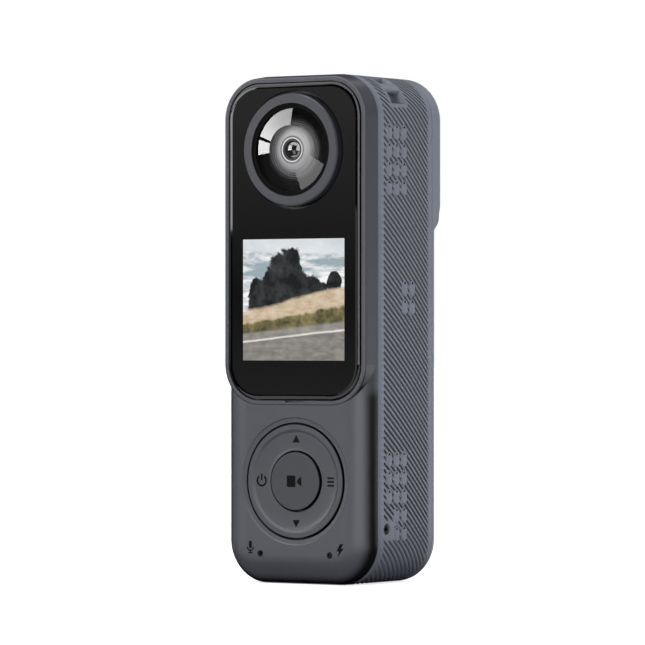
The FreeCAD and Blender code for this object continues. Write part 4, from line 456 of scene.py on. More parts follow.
def turned_plastic(name, bands, roughness, ring_pitch, ring_strength, gloss):
    """Plastic turned round the lens's axis: colours by radius in mm, with fine turned rings."""
    material, tree, place = new_material(name)
    radius = axis_distance(tree, place, LENS_HEIGHT)
    share = add_node(tree, "ShaderNodeMapRange", [radius, 0, bands[-1][0] * MM])
    ramp = add_node(tree, "ShaderNodeValToRGB", {"Fac": share})
    stops = ramp.color_ramp.elements
    stops[0].color, stops[1].color = linear(bands[0][1]), linear(bands[-1][1])
    for radius_mm, colour in bands[1:-1]:
        stops.new(radius_mm / bands[-1][0]).color = linear(colour)
    per_turn = 2 * math.pi / (ring_pitch * MM)
    turns = add_node(tree, "ShaderNodeMath", [radius, per_turn], operation="MULTIPLY")
    wave = add_node(tree, "ShaderNodeMath", [turns], operation="SINE")
    relief = add_node(tree, "ShaderNodeBump", {
        "Height": wave, "Strength": ring_strength, "Distance": TURNED_RELIEF})
    shade = add_node(tree, "ShaderNodeMapRange", [wave, -1, 1, 1 - ring_strength])
    tone = add_node(tree, "ShaderNodeVectorMath", {0: ramp, "Scale": shade}, operation="SCALE")
    shader = add_node(tree, "ShaderNodeBsdfPrincipled", {
        "Base Color": tone, "Normal": relief, "Roughness": roughness, "Specular IOR Level": gloss})
    add_node(tree, "ShaderNodeOutputMaterial", {"Surface": shader})
    return material


black_hood = turned_plastic("turned_black_hood", [
    (0, "#101011"), (4.7, "#8c8c8e"), (5.2, "#6a6a6c"), (5.9, "#333334"), (6.4, "#090909"),
    (8.2, "#020202")], 0.4, 0.42, 0.75, 0.08)
# The nose's near-white band, 2.2 to 2.34 mm from the axis, is a painted highlight.
grey_nose_painted_highlight = turned_plastic("turned_grey_nose", [
    (0, "#09090b"), (2.16, "#131316"), (2.2, "#fafafa"), (2.34, "#fafafa"), (2.38, "#6b6b6c"),
    (2.7, "#7b7b7c"), (2.78, "#bcbcbd"), (3.5, "#acacad"), (4.7, "#5e5e5f")], 0.35, 0.5, 0.12, 0.5)

WINDOW_RIM = 4.62 * MM, 4.74 * MM
COATED_SHARE = 0.2


def coated_window(name, ior):
    """Clear glass with a mirror coating: it lets rays through and mirrors by its angle."""
    material, tree, place = new_material(name)
    wipe = add_node(tree, "ShaderNodeTexNoise", {"Vector": place, "Scale": 1 / (5 * MM), "Detail": 3.0})
    gloss = add_node(tree, "ShaderNodeMapRange", [wipe, 0, 1, 0.01, 0.03])
    fresnel = add_node(tree, "ShaderNodeFresnel", {"IOR": ior})
    # The flat middle is antireflection coated, the sloping rim isn't; back faces mirror nothing.
    rim = add_node(tree, "ShaderNodeMapRange", [
        axis_distance(tree, place, LENS_HEIGHT), *WINDOW_RIM, COATED_SHARE])
    back = add_node(tree, "ShaderNodeNewGeometry").outputs["Backfacing"]
    facing = add_node(tree, "ShaderNodeMapRange", [back, 0, 1, 1, 0])
    share = add_node(tree, "ShaderNodeMath", [fresnel, rim], operation="MULTIPLY")
    share = add_node(tree, "ShaderNodeMath", [share, facing], operation="MULTIPLY")
    clear = add_node(tree, "ShaderNodeBsdfTransparent")
    mirror = add_node(tree, "ShaderNodeBsdfGlossy", {"Roughness": gloss})
    both = add_node(tree, "ShaderNodeMixShader", [share, clear, mirror])
    add_node(tree, "ShaderNodeOutputMaterial", {"Surface": both})
    return material


print("turned:", black_hood.name, grey_nose_painted_highlight.name)

# %% [markdown]
# Each node of the construction gets the finish of the material that it is really made of, with painted
# shade on the housing and the keys and a painted highlight on the lens nose. Only the plain grip band gets
# none here, because a ribbed one takes its place further down.

# %% Dress the carried-over nodes
# Each finish, named for the real one, with the nodes that wear it.
FINISHES = [
    # Satin moulded slate: the housing, the rear parts and the finer grained keys. The housing has painted
    # shade on its rounding and underside, the keys a painted shadow on their side walls.
    (moulded_slate("slate_polycarbonate_moulded", "#46484f", 0.34, shade=rounding_share), "front_housing"),
    (moulded_slate("slate_polycarbonate_back", "#787c89", 0.48), "rear_cover port_door"),
    (moulded_slate("slate_ring_key_satin", "#424349", 0.36, grain=0.3, bump=0.2,
                   shade=key_wall_share(10.93 * MM)), "ring_key"),
    (moulded_slate("slate_button_satin", "#36373d", 0.36, grain=0.3, bump=0.2,
                   shade=key_wall_share(5.57 * MM)), "record_button"),
    (moulded_slate("slate_anodised_aluminium", "#3a3b41", 0.34, grain=0.3, bump=0.15), "lens_ring"),
    # Blacks, which swallow light round the lens and inside.
    (moulded_slate("black_anodised_matt", "#030303", 0.75, bump=0.1, ior=1.2), "lens_retainer"),
    (moulded_slate("black_polycarbonate_moulded", "#0c0c0d", 0.45),
     "lens_barrel lens_holder inner_frame ring_carrier speaker memory_card sensor_connector"),
    (moulded_slate("black_silicone_matt", "#1a1a1c", 0.7),
     "rear_cover_seal front_glass_seal display_adhesive rear_glass_seal microphone_gasket battery_foam "
     "heat_pad port_door_gasket"),
    # Turned funnel and nose, the nose with its painted highlight, and the glass: deep black gloss in front, a
    # clear mirror over the lens.
    (black_hood, "lens_hood"),
    (grey_nose_painted_highlight, "lens_nose"),
    (coated_window("coated_lens_window", 2.4), "lens_cover_glass"),
    (polished("black_printed_glass", "#050506", 0.02, smudge=0.01),
     "front_glass rear_glass front_display_panel rear_display_panel image_sensor"),
    (polished("coated_lens_element", "#0a0a12", 0.02, ior=2.4),
     "lens_front_element lens_rear_elements ir_filter"),
    (polished("smoked_light_pipe", "#060607", 0.55, ior=1.3), "led_light_pipe status_led microphone"),
    # Metals, boards and ribbons, hardly seen from outside.
    (polished("smoked_lacquered_ring", "#55565a", 0.2), "lens_element_ring"),
    (polished("black_oxide_steel", "#2a2a2c", 0.35, metallic=1.0),
     "side_screws lens_screws board_screws key_board_screws"),
    (polished("turned_brass", "#b08a45", 0.28, metallic=1.0), "tripod_insert"),
    (polished("tinned_steel", "#9a9b9e", 0.3, metallic=1.0),
     "usb_c_receptacle card_socket processor_shield key_domes port_door_pin"),
    (polished("battery_foil", "#b9babd", 0.3), "battery heat_spreader"),
    (polished("solder_mask", "#0c2c22", 0.35),
     "main_board key_board sensor_board battery_board wifi_antenna memory_chips"),
    (polished("polyimide_ribbon", "#8a4d12", 0.3),
     "front_display_flex key_board_flex rear_display_flex battery_leads"),
]
bare = set(nodes)
for material, names in FINISHES:
    for name in names.split():
        nodes[name].material_slots[0].material = material
        bare.discard(name)
print("nodes without a finish yet:", sorted(bare))

# %% [markdown]
# The grip band is moulded with fine slanting ribs all the way round, so that a thumb doesn't slip.
# The ribs follow one spiral: each groove sinks towards the rear as it goes down the right side, turns
# under the bottom and climbs the left side. A whole number of grooves fits the outline, so the
# spiral closes on itself.

# %% Outline of the band
band_low, band_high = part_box("grip_band")
cover_low, cover_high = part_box("rear_cover")
BAND_FRONT = band_low.y
BAND_REAR = band_high.y
BAND_HALF = cover_high.x
BAND_TOP = band_high.z
CORNER = 8.4 * MM
FLAT_X = 2 * (BAND_HALF - CORNER)
FLAT_Z = BAND_TOP - 2 * CORNER
ARC = math.pi / 2 * CORNER
OUTLINE_LENGTH = 2 * FLAT_X + 2 * FLAT_Z + 4 * ARC
RIB_COUNT = round(OUTLINE_LENGTH / (1.25 * MM))
RIB_PITCH = OUTLINE_LENGTH / RIB_COUNT


def band_outline(along):
    """Points and outward normals of the outline, from the top's left end and clockwise."""
    along = np.mod(np.asarray(along, dtype=float), OUTLINE_LENGTH)
    # Start corner, heading and length of the four sides; each is followed by its quarter arc.
    sides = [
        ((-FLAT_X / 2, BAND_TOP), (1, 0), FLAT_X), ((BAND_HALF, BAND_TOP - CORNER), (0, -1), FLAT_Z),
        ((FLAT_X / 2, 0.0), (-1, 0), FLAT_X), ((-BAND_HALF, CORNER), (0, 1), FLAT_Z)]
    x, z, nx, nz = (np.zeros_like(along) for _ in range(4))
    begin = 0.0
    for (start_x, start_z), (head_x, head_z), length in sides:
        out_x, out_z = -head_z, head_x
        run = along - begin
        flat = (run >= 0) & (run < length)
        x[flat] = start_x + head_x * run[flat]
        z[flat] = start_z + head_z * run[flat]
        nx[flat], nz[flat] = out_x, out_z
        turn = (run - length) / CORNER
        bend = (run >= length) & (run < length + ARC)
        cos, sin = np.cos(turn[bend]), np.sin(turn[bend])
        nx[bend] = out_x * cos + head_x * sin
        nz[bend] = out_z * cos + head_z * sin
        x[bend] = start_x + head_x * length - out_x * CORNER + nx[bend] * CORNER
        z[bend] = start_z + head_z * length - out_z * CORNER + nz[bend] * CORNER
        begin += length + ARC
    return x, z, nx, nz


print("outline in mm:", round(OUTLINE_LENGTH / MM, 2), "ribs:", RIB_COUNT)

# %% [markdown]
# Ribs stop short of everything that needs a smooth land: both edges of the band, the lanyard eye,
# the port door, the side screws and the tripod socket. Each land is a distance from its own shape,
# and a groove's depth fades out over a fifth of a millimetre, as a rounded cutter leaves it.

# %% Smooth lands
FRONT_LAND = 2.0 * MM
REAR_LAND = 1.55 * MM
GROOVE_FADE = 0.2 * MM
screw_low, screw_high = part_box("side_screws")
SCREW_Y = (screw_low.y + screw_high.y) / 2
SCREW_Z = (screw_low.z + screw_high.z) / 2
SCREW_LAND = 1.6 * MM
# A plain field lies beside the right screw: its middle from the screw, and half its sides.
BESIDE_Y, BESIDE_Z = 2 * MM, -0.3 * MM
BESIDE_HALF_Y, BESIDE_HALF_Z = 2.2 * MM, 1.9 * MM
TRIPOD_LAND = 6.4 * MM
door_low, door_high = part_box("port_door")
DOOR_LAND = 1.1 * MM
EYE_Y = BAND_FRONT + 8.2 * MM
EYE_HALF_Y = 2.6 * MM
EYE_MIDDLE = math.radians(47)
EYE_HALF_TURN = math.radians(28)
EYE_LAND = 0.6 * MM
# Parts of an outward normal that tell the flat sides and the underside.
SIDE, UNDER = 0.99, -0.5


def outside_box(u, v, u_half, v_half):
    """Distance from a rectangle about the origin, negative inside."""
    du = np.abs(u) - u_half
    dv = np.abs(v) - v_half
    return np.hypot(np.maximum(du, 0), np.maximum(dv, 0)) + np.minimum(np.maximum(du, dv), 0)


def groove_share(x, y, z, nx, nz):
    """Share of the full groove depth: 0 on smooth lands, 1 clear of them."""
    free = np.minimum(y - BAND_FRONT - FRONT_LAND, BAND_REAR - REAR_LAND - y)
    screw = np.hypot(y - SCREW_Y, z - SCREW_Z) - SCREW_LAND
    free = np.where(np.abs(nx) > SIDE, np.minimum(free, screw), free)
    beside = outside_box(y - SCREW_Y - BESIDE_Y, z - SCREW_Z - BESIDE_Z, BESIDE_HALF_Y, BESIDE_HALF_Z)
    free = np.where(nx > SIDE, np.minimum(free, beside), free)
    tripod = np.hypot(x, y) - TRIPOD_LAND
    free = np.where(nz < UNDER, np.minimum(free, tripod), free)
    door = outside_box(
        y - (door_low.y + door_high.y) / 2, z - (door_low.z + door_high.z) / 2,
        (door_high.y - door_low.y) / 2 + DOOR_LAND, (door_high.z - door_low.z) / 2 + DOOR_LAND)
    free = np.where(nx < UNDER, np.minimum(free, door), free)
    turn = np.arctan2(nz, nx)
    eye = outside_box(y - EYE_Y, (turn - EYE_MIDDLE) * CORNER,
                      EYE_HALF_Y + EYE_LAND, EYE_HALF_TURN * CORNER + EYE_LAND)
    free = np.where((nx > 0) & (nz > 0), np.minimum(free, eye), free)
    return np.clip(free / GROOVE_FADE, 0, 1)


print("screw at y and z in mm:", round(SCREW_Y / MM, 2), round(SCREW_Z / MM, 2))

# %% [markdown]
# Small hexagonal pads stand flush with the ribs where fingers rest. They come in four groups on the
# right side; on the left side the port door takes the place of some.

# %% Pad places
PAD_WIDTH = 2.15 * MM
PAD_HEIGHT = 3.3 * MM
PAD_SLOPE = math.tan(math.radians(30))
PAD_ROOT = 0.4 * MM
PAD_MARGIN = 0.1 * MM
PAD_PITCH_Y = 2.65 * MM
PAD_PITCH_Z = 3.58 * MM
# First column behind the band's front edge, columns, top of the first row, and rows.
PAD_GROUPS = [
    (4.1 * MM, 3, 88.75 * MM, 4),
    (9.7 * MM, 2, 58.7 * MM, 2),
    (4.1 * MM, 3, 25.8 * MM, 3),
    (4.1 * MM + PAD_PITCH_Y, 2, 25.8 * MM - 3 * PAD_PITCH_Z, 2),
]
places = []
for first, columns, top, rows in PAD_GROUPS:
    for row in range(rows):
        for column in range(columns):
            y = BAND_FRONT + first + column * PAD_PITCH_Y
            z = top - row * PAD_PITCH_Z - PAD_HEIGHT / 2
            beside_door = y + PAD_WIDTH / 2 < door_low.y - DOOR_LAND
            past_door = z - PAD_HEIGHT / 2 > door_high.z or z + PAD_HEIGHT / 2 < door_low.z
            places.append((BAND_HALF, y, z))
            if beside_door or past_door:
                places.append((-BAND_HALF, y, z))
place_mesh = new_mesh("pad_places", places, [])
turn_values = place_mesh.attributes.new("turn", "FLOAT_VECTOR", "POINT")
turn_values.data.foreach_set("vector", [v for x, _, _ in places for v in (0, 0, math.pi * (x < 0))])
print("pads:", len(places))


def pad_bed(x, y, z):
    """Depth of the beds that the pads stand in."""
    bed = np.zeros_like(x)
    half = PAD_WIDTH / 2 - PAD_MARGIN
    for pad_x, pad_y, pad_z in places:
        across = np.abs(y - pad_y)
        up = np.abs(z - pad_z) + across * PAD_SLOPE
        inside = (across < half) & (up < PAD_HEIGHT / 2 - PAD_MARGIN) & (np.abs(x - pad_x) < MM)
        bed[inside] = PAD_ROOT
    return bed


# %% [markdown]
# The ribbed block is a grid whose columns follow the grooves, so every ridge has a clean edge.
# Each rib gets five columns: three on its crest and two on the groove's floor.

# %% Ribbed block
GROOVE_DEPTH = 0.3 * MM
GROOVE_FROM = 0.4
CREST_END = 0.52
FLOOR_START = 0.64
FLOOR_END = 0.88
EDGE_BREAK = 0.12 * MM
ROW_STEP = 0.25 * MM
SPIRAL_SLOPE = 0.655
SPIRAL_BEND = 0.0087 / MM
# The block's ends stand past the band, so that the cut makes clean edges.
PAST_END = 1 * MM


def spiral(back):
    """How far a groove has run along the outline at a distance behind the band's front edge."""
    return SPIRAL_SLOPE * back + SPIRAL_BEND * back * back


def ribbed_block():
    """The solid block with its ribs: rows go from front to back, columns follow the grooves."""
    depth_of_band = BAND_REAR - BAND_FRONT
    inner_rows = np.linspace(FRONT_LAND, depth_of_band - REAR_LAND,
                             int((depth_of_band - FRONT_LAND - REAR_LAND) / ROW_STEP) + 1)
    # Each row is a distance behind the band's front edge, and how far it is set in.
    rows = [(-PAST_END, EDGE_BREAK + PAST_END), (EDGE_BREAK, 0.0)]
    rows += [(back, 0.0) for back in inner_rows]
    rows += [(depth_of_band - EDGE_BREAK, 0.0), (depth_of_band + PAST_END, EDGE_BREAK + PAST_END)]
    shares = np.array([0.0, CREST_END / 2, CREST_END, FLOOR_START, FLOOR_END])
    levels = np.array([0.0, 0.0, 0.0, 1.0, 1.0])
    columns = ((np.arange(RIB_COUNT)[:, None] + shares[None, :]) * RIB_PITCH).ravel()
    sink = np.tile(levels, RIB_COUNT)
    points = []
    sunk_rows = []
    for back, inset in rows:
        x, z, nx, nz = band_outline(columns + spiral(back))
        y = np.full_like(x, BAND_FRONT + back)
        sunk = sink * groove_share(x, y, z, nx, nz)
        down = inset + np.maximum(GROOVE_DEPTH * sunk, pad_bed(x, y, z))
        points.append(np.stack([x - nx * down, y, z - nz * down], axis=1))
        sunk_rows.append(sunk)
    count = len(columns)
    last = (len(rows) - 1) * count
    faces = [(i + j, i + count + j, i + count + (j + 1) % count, i + (j + 1) % count)
             for i in range(0, last, count) for j in range(count)]
    faces += [tuple(range(count)), tuple(reversed(range(last, last + count)))]
    mesh = new_mesh("ribbed_block", np.concatenate(points).tolist(), faces)
    # Side faces that lie in a groove get the second material, darker as painted shade.
    sunk = np.concatenate(sunk_rows)
    in_groove = [int(sum(sunk[v] for v in face) / 4 > GROOVE_FROM) for face in faces[:-2]] + [0, 0]
    mesh.materials.append(slate_band)
    mesh.materials.append(groove_painted_shade)
    mesh.polygons.foreach_set("material_index", in_groove)
    return mesh


print("rib width in mm:", round(CREST_END * RIB_PITCH / MM, 2))

# %% [markdown]
# A boolean keeps what the block shares with the real band, whose outer skin is first pushed out past
# the crests. So the ribs decide the outside, and walls, recesses and bores are the band's own.


# %% Cut the block to the band's walls
SKIN_PUSH = 0.4 * MM
SKIN_DEPTH = 0.1 * MM
WELD = 0.001 * MM
SHARP_FROM = math.radians(70)


def tidy_mesh(mesh):
    """Joins doubled vertices and turns every face outwards."""
    work = bmesh.new()
    work.from_mesh(mesh)
    bmesh.ops.remove_doubles(work, verts=work.verts, dist=WELD)
    bmesh.ops.recalc_face_normals(work, faces=work.faces)
    work.to_mesh(mesh)
    work.free()
    return mesh


def carve(name, mesh, tool_mesh, operation):
    """A boolean of two meshes as one new mesh; the helpers are removed."""
    body = linked("carve_body", mesh)
    tool = linked("carve_tool", tool_mesh)
    cut = body.modifiers.new("cut", "BOOLEAN")
    cut.operation = operation
    cut.solver = "EXACT"
    cut.object = tool
    graph = bpy.context.evaluated_depsgraph_get()
    result = bpy.data.meshes.new_from_object(body.evaluated_get(graph))
    result.name = name
    bpy.data.objects.remove(body)
    bpy.data.objects.remove(tool)
    return result


def band_walls():
    """A copy of the band's solid with its outer skin pushed past the crests."""
    mesh = tidy_mesh(nodes["grip_band"].data.copy())
    for vertex in mesh.vertices:
        x, y, z = vertex.co
        core_x = min(max(x, -FLAT_X / 2), FLAT_X / 2)
        core_z = min(max(z, CORNER), BAND_TOP - CORNER)
        out = Vector((x - core_x, 0, z - core_z))
        if out.length > CORNER - SKIN_DEPTH:
            vertex.co += out.normalized() * SKIN_PUSH
    return mesh


band_mesh = carve("ribbed_grip_band", tidy_mesh(ribbed_block()), band_walls(), "INTERSECT")
band_mesh.shade_smooth()
band_mesh.set_sharp_from_angle(angle=SHARP_FROM)
band = linked("ribbed_grip_band", band_mesh)
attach(band, "camera_body")
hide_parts("grip_band")
print("band faces:", len(band_mesh.polygons))

# %% [markdown]
# Each pad is slightly roofed, with a little arrow notch at its top. One pad is modelled once, and
# Geometry Nodes sets a copy on every place: the places are points, each with a turn that makes the
# pad look outwards from its side.

# %% One pad
PAD_CREST = 0.045 * MM
PAD_EAVES = -0.01 * MM
PAD_EDGE = 0.12 * MM
NOTCH_DOWN = 0.62 * MM
NOTCH_HALF = 0.48 * MM
NOTCH_RISE = 0.3 * MM
NOTCH_DEPTH = 0.3 * MM
SKIN = 0.01 * MM


def notch_tool(middle):
    """The arrow shaped prism that cuts the notch, about that height on the pad."""
    outline = [(0, middle + NOTCH_RISE), (NOTCH_HALF, middle - NOTCH_RISE), (0, middle - NOTCH_RISE / 2),
               (-NOTCH_HALF, middle - NOTCH_RISE)]
    points = [(x, y, z) for x in (PAD_EAVES - NOTCH_DEPTH, PAD_ROOT) for y, z in outline]
    faces = [(0, 1, 2, 3), (7, 6, 5, 4)] + [(k, k + 4, (k + 1) % 4 + 4, (k + 1) % 4) for k in range(4)]
    return tidy_mesh(new_mesh("notch", points, faces))


def pad_mesh():
    """One pad that looks along X: six sides, a roofed top and the notch."""
    half = PAD_WIDTH / 2
    top = PAD_HEIGHT / 2
    shoulder = top - half * PAD_SLOPE
    outline = [(0, top), (half, shoulder), (half, -shoulder),
               (0, -top), (-half, -shoulder), (-half, shoulder)]
    points = [(-PAD_ROOT, y, z) for y, z in outline]
    for share, lift in ((1.0, -PAD_EDGE), (1 - PAD_EDGE / half, 0.0)):
        points += [(lift + (PAD_EAVES if y else PAD_CREST), y * share, z * share) for y, z in outline]
    faces = [(5, 4, 3, 2, 1, 0)]
    for low in (0, 6):
        faces += [(low + k, low + (k + 1) % 6, low + (k + 1) % 6 + 6, low + k + 6) for k in range(6)]
    faces += [(12, 13, 14, 15), (15, 16, 17, 12)]
    middle = top - NOTCH_DOWN
    mesh = tidy_mesh(new_mesh("grip_pad", points, faces))
    mesh = carve("grip_pad", mesh, notch_tool(middle), "DIFFERENCE")
    inside = mesh.attributes.new("notch", "BOOLEAN", "FACE")
    for face, flag in zip(mesh.polygons, inside.data):
        x, y, z = face.center
        near = abs(y) < NOTCH_HALF and abs(z - middle) < 1.2 * NOTCH_RISE
        flag.value = near and -PAD_ROOT < x < PAD_EAVES - SKIN
    return mesh


print("pad in mm:", round(PAD_WIDTH / MM, 2), "x", round(PAD_HEIGHT / MM, 2))

# %% [markdown]
# The tree sets a turned copy of the pad on every point, makes the copies real, and gives them their
# finish and the notch a darker one, painted shade in its pit. The result is kept as a plain mesh.


# %% Set the pads with Geometry Nodes
def instance_tree(name):
    """Sets a copy of one object on every point, turned by the point's own turn."""
    tree = bpy.data.node_groups.new(name, "GeometryNodeTree")
    for label, kind in (("Geometry", "Geometry"), ("Piece", "Object"), ("Finish", "Material"),
                        ("Notch painted shade", "Material")):
        tree.interface.new_socket(label, in_out="INPUT", socket_type="NodeSocket" + kind)
    tree.interface.new_socket("Geometry", in_out="OUTPUT", socket_type="NodeSocketGeometry")
    given = tree.nodes.new("NodeGroupInput")
    piece = add_node(tree, "GeometryNodeObjectInfo", {"Object": given.outputs["Piece"]})
    turn = add_node(tree, "GeometryNodeInputNamedAttribute", {"Name": "turn"}, data_type="FLOAT_VECTOR")
    copies = add_node(tree, "GeometryNodeInstanceOnPoints", {
        "Points": given.outputs["Geometry"], "Instance": piece.outputs["Geometry"], "Rotation": turn})
    real = add_node(tree, "GeometryNodeRealizeInstances", {"Geometry": copies})
    coated = add_node(tree, "GeometryNodeSetMaterial", {
        "Geometry": real, "Material": given.outputs["Finish"]})
    notch = add_node(tree, "GeometryNodeInputNamedAttribute", {"Name": "notch"}, data_type="BOOLEAN")
    coated = add_node(tree, "GeometryNodeSetMaterial", {
        "Geometry": coated, "Selection": notch, "Material": given.outputs["Notch painted shade"]})
    add_node(tree, "NodeGroupOutput", {"Geometry": coated})
    return tree


piece = linked("grip_pad", pad_mesh())
pads = linked("grip_pads", place_mesh)
modifier = pads.modifiers.new("copies", "NODES")
modifier.node_group = instance_tree("grip_pads_nodes")
given = {"Piece": piece, "Finish": slate_band, "Notch painted shade": notch_painted_shade}
for item in modifier.node_group.interface.items_tree:
    if item.in_out == "INPUT" and item.name in given:
        modifier[item.identifier] = given[item.name]
graph = bpy.context.evaluated_depsgraph_get()
pads_mesh = bpy.data.meshes.new_from_object(pads.evaluated_get(graph))
pads.modifiers.clear()
pads.data = pads_mesh
bpy.data.objects.remove(piece)
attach(pads, "camera_body")
print("pad faces:", len(pads_mesh.polygons))

# %% [markdown]
# The marks are pad printed in black. Each is drawn flat, as a few outlines in millimetres, then cut
# into small triangles, laid on its surface and given a printed layer's thickness. A mark on a key
# rides with that key. Thin black rings round the two small holes in the face are painted shade that
# makes the holes look wider and darker.

# %% Printed marks
PRINT_PROUD = 0.012 * MM
PRINT_SUNK = 0.02 * MM
PRINT_STEP = 0.3 * MM
PRINT_ROUNDS = 4
FAR_AHEAD = -0.1
CORNER_STEPS = 4

# One black serves the printed marks and the painted shade round the two holes.
print_and_painted_shade_black = moulded_slate("pad_print_black", "#040404", 0.7, bump=0.1, ior=1.2)


def arc(radius, width, first, last, centre=(0, 0), steps=28):
    """A bent stroke between two angles in degrees."""
    angles = [math.radians(first + (last - first) * k / steps) for k in range(steps + 1)]
    edges = [[(centre[0] + r * math.cos(a), centre[1] + r * math.sin(a)) for a in angles]
             for r in (radius + width / 2, radius - width / 2)]
    return edges[0] + edges[1][::-1]


def bar(x_low, x_high, z_low, z_high, corner=0.0):
    """An upright rectangle with rounded corners."""
    if corner == 0:
        return [(x_low, z_low), (x_high, z_low), (x_high, z_high), (x_low, z_high)]
    points = []
    for x, z, start in ((x_high - corner, z_high - corner, 0), (x_low + corner, z_high - corner, 90),
                        (x_low + corner, z_low + corner, 180), (x_high - corner, z_low + corner, 270)):
        for k in range(CORNER_STEPS + 1):
            turn = math.radians(start + 90 / CORNER_STEPS * k)
            points.append((x + corner * math.cos(turn), z + corner * math.sin(turn)))
    return points


UP_MARK = [[(-0.84, -0.74), (0.84, -0.74), (0, 0.74)]]
DOWN_MARK = [[(-0.84, 0.74), (0, -0.74), (0.84, 0.74)]]
POWER_MARK = [arc(0.98, 0.36, 125, 415), bar(-0.18, 0.18, 0.05, 1.35)]
MENU_MARK = [bar(-0.8, 0.8, level - 0.18, level + 0.18, 0.12) for level in (-0.72, 0, 0.72)]
RECORD_MARK = [bar(-1.91, 0.1, -1.12, 1.12, 0.3), [(0.5, -0.3), (1.47, -0.98), (1.47, 0.98), (0.5, 0.3)]]
MICROPHONE_MARK = [bar(-0.36, 0.36, -0.25, 1.2, 0.34), arc(0.72, 0.26, 180, 360, (0, 0.05)),
                   bar(-0.13, 0.13, -1.02, -0.5), bar(-0.52, 0.52, -1.24, -1.0)]
LAMP_MARK = [[(0.02, 1.25), (-0.78, -0.18), (-0.16, -0.18), (-0.5, -1.25), (0.88, 0.36), (0.26, 0.36),
              (0.82, 1.25)]]
# Painted shade: a thin black ring that widens the dark of a small hole in the face.
HOLE_PAINTED_SHADE = [arc(0.58, 0.12, 0, 180), arc(0.58, 0.12, 180, 360)]


def printed(name, marks, carrier, body):
    """One thin print of several marks, each with its centre in mm, on a node seen from the front."""
    mesh = nodes[carrier].data
    tree = BVHTree.FromPolygons([vertex.co for vertex in mesh.vertices],
                                [face.vertices for face in mesh.polygons])
    work = bmesh.new()
    for (centre_x, centre_z), outlines in marks:
        for outline in outlines:
            corners = [((centre_x + x) * MM, 0, (centre_z + z) * MM) for x, z in outline]
            work.faces.new([work.verts.new(corner) for corner in corners])
    work.normal_update()
    bmesh.ops.triangulate(work, faces=work.faces)
    for _ in range(PRINT_ROUNDS):
        wide = [edge for edge in work.edges if edge.calc_length() > PRINT_STEP]
        if wide:
            bmesh.ops.subdivide_edges(work, edges=wide, cuts=1)
            bmesh.ops.triangulate(work, faces=work.faces)
    for vertex in work.verts:
        hit = tree.ray_cast(Vector((vertex.co.x, FAR_AHEAD, vertex.co.z)), Vector((0, 1, 0)))[0]
        vertex.co.y = hit.y + PRINT_SUNK
    front = bmesh.ops.extrude_face_region(work, geom=work.faces[:], use_keep_orig=True)
    for item in front["geom"]:
        if isinstance(item, bmesh.types.BMVert):
            item.co.y -= PRINT_SUNK + PRINT_PROUD
    bmesh.ops.recalc_face_normals(work, faces=work.faces)
    # Extruding leaves the faces in no fixed order; sorted, they are the same in each run.
    work.verts.index_update()
    faces = sorted([vertex.index for vertex in face.verts] for face in work.faces)
    print_mesh = new_mesh(name, [vertex.co for vertex in work.verts], faces)
    work.free()
    print_mesh.materials.append(print_and_painted_shade_black)
    piece = linked(name, print_mesh)
    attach(piece, body)
    print(name, "faces:", len(print_mesh.polygons))


KEY_MARK_R = 8.2
POWER_X, MENU_X = -8.0, 7.95
HOLE_X, HOLE_Z = 8.0, 5.85
printed("ring_key_marks", [
    ((0, KEY_Z + KEY_MARK_R), UP_MARK), ((0, KEY_Z - KEY_MARK_R), DOWN_MARK),
    ((POWER_X, KEY_Z), POWER_MARK), ((MENU_X, KEY_Z), MENU_MARK)], "ring_key", "ring_key")
printed("record_mark", [((0, KEY_Z), RECORD_MARK)], "record_button", "record_button")
printed("face_marks", [
    ((-10.3, 7.05), MICROPHONE_MARK), ((10.35, 6.85), LAMP_MARK),
    ((-HOLE_X, HOLE_Z), HOLE_PAINTED_SHADE), ((HOLE_X, HOLE_Z), HOLE_PAINTED_SHADE)], "front_housing", "camera_body")

# %% [markdown]
# The lit display shows a made-up coast: surf, sand, dune grass, a road and dark rocks in the water.
# It is a thin plate on the glass. Its shader lays one layer over the next, each with a wavy edge,
# in the picture's own coordinates, which run from 0 to 1 across the display.

# %% Display picture
PICTURE_HALF = 11.7 * MM
PICTURE_LOW = 43.15 * MM
PICTURE_SIDE = 2 * PICTURE_HALF
GLASS_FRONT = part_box("front_glass")[0].y
PICTURE_PROUD = 0.015 * MM
PICTURE_GLOW = 0.92
ROCK_ROUGH = 1.1
ROCK_EDGE = 1.5, 1.58

lit, tree, place = new_material("lit_display_picture")
flat = add_node(tree, "ShaderNodeMapping", {
    "Vector": place, "Location": (0.5, 0, -PICTURE_LOW / PICTURE_SIDE),
    "Scale": (1 / PICTURE_SIDE, 0, 1 / PICTURE_SIDE)})
across = add_node(tree, "ShaderNodeSeparateXYZ", {"Vector": flat})


def picture_noise(scale, stretch, detail=4.0):
    """Noise over the picture, stretched across it."""
    wide = add_node(tree, "ShaderNodeMapping", {"Vector": flat, "Scale": (1 / stretch, 1, 1)})
    return add_node(tree, "ShaderNodeTexNoise", {
        "Vector": wide, "Scale": scale, "Detail": detail, "Roughness": 0.6})


def lay_over(below, above, mask):
    """One colour over another where the mask is 1."""
    return add_node(tree, "ShaderNodeMix", {"Factor": mask, "A": below, "B": above}, data_type="RGBA")


def two_tones(noise, dark, light, low=0.35, high=0.65):
    """A colour between two tones, led by noise."""
    share = add_node(tree, "ShaderNodeMapRange", [noise, low, high])
    return lay_over(linear(dark), linear(light), share)


def under_line(level, tilt, noise, wobble, edge=0.012):
    """1 below a tilted wavy line."""
    tilted = add_node(tree, "ShaderNodeMath", [across.outputs["X"], tilt, across.outputs["Z"]],
                      operation="MULTIPLY_ADD")
    waved = add_node(tree, "ShaderNodeMath", [noise, wobble, tilted], operation="MULTIPLY_ADD")
    top = level + wobble / 2
    return add_node(tree, "ShaderNodeMapRange", [waved, top - edge, top + edge, 1, 0])


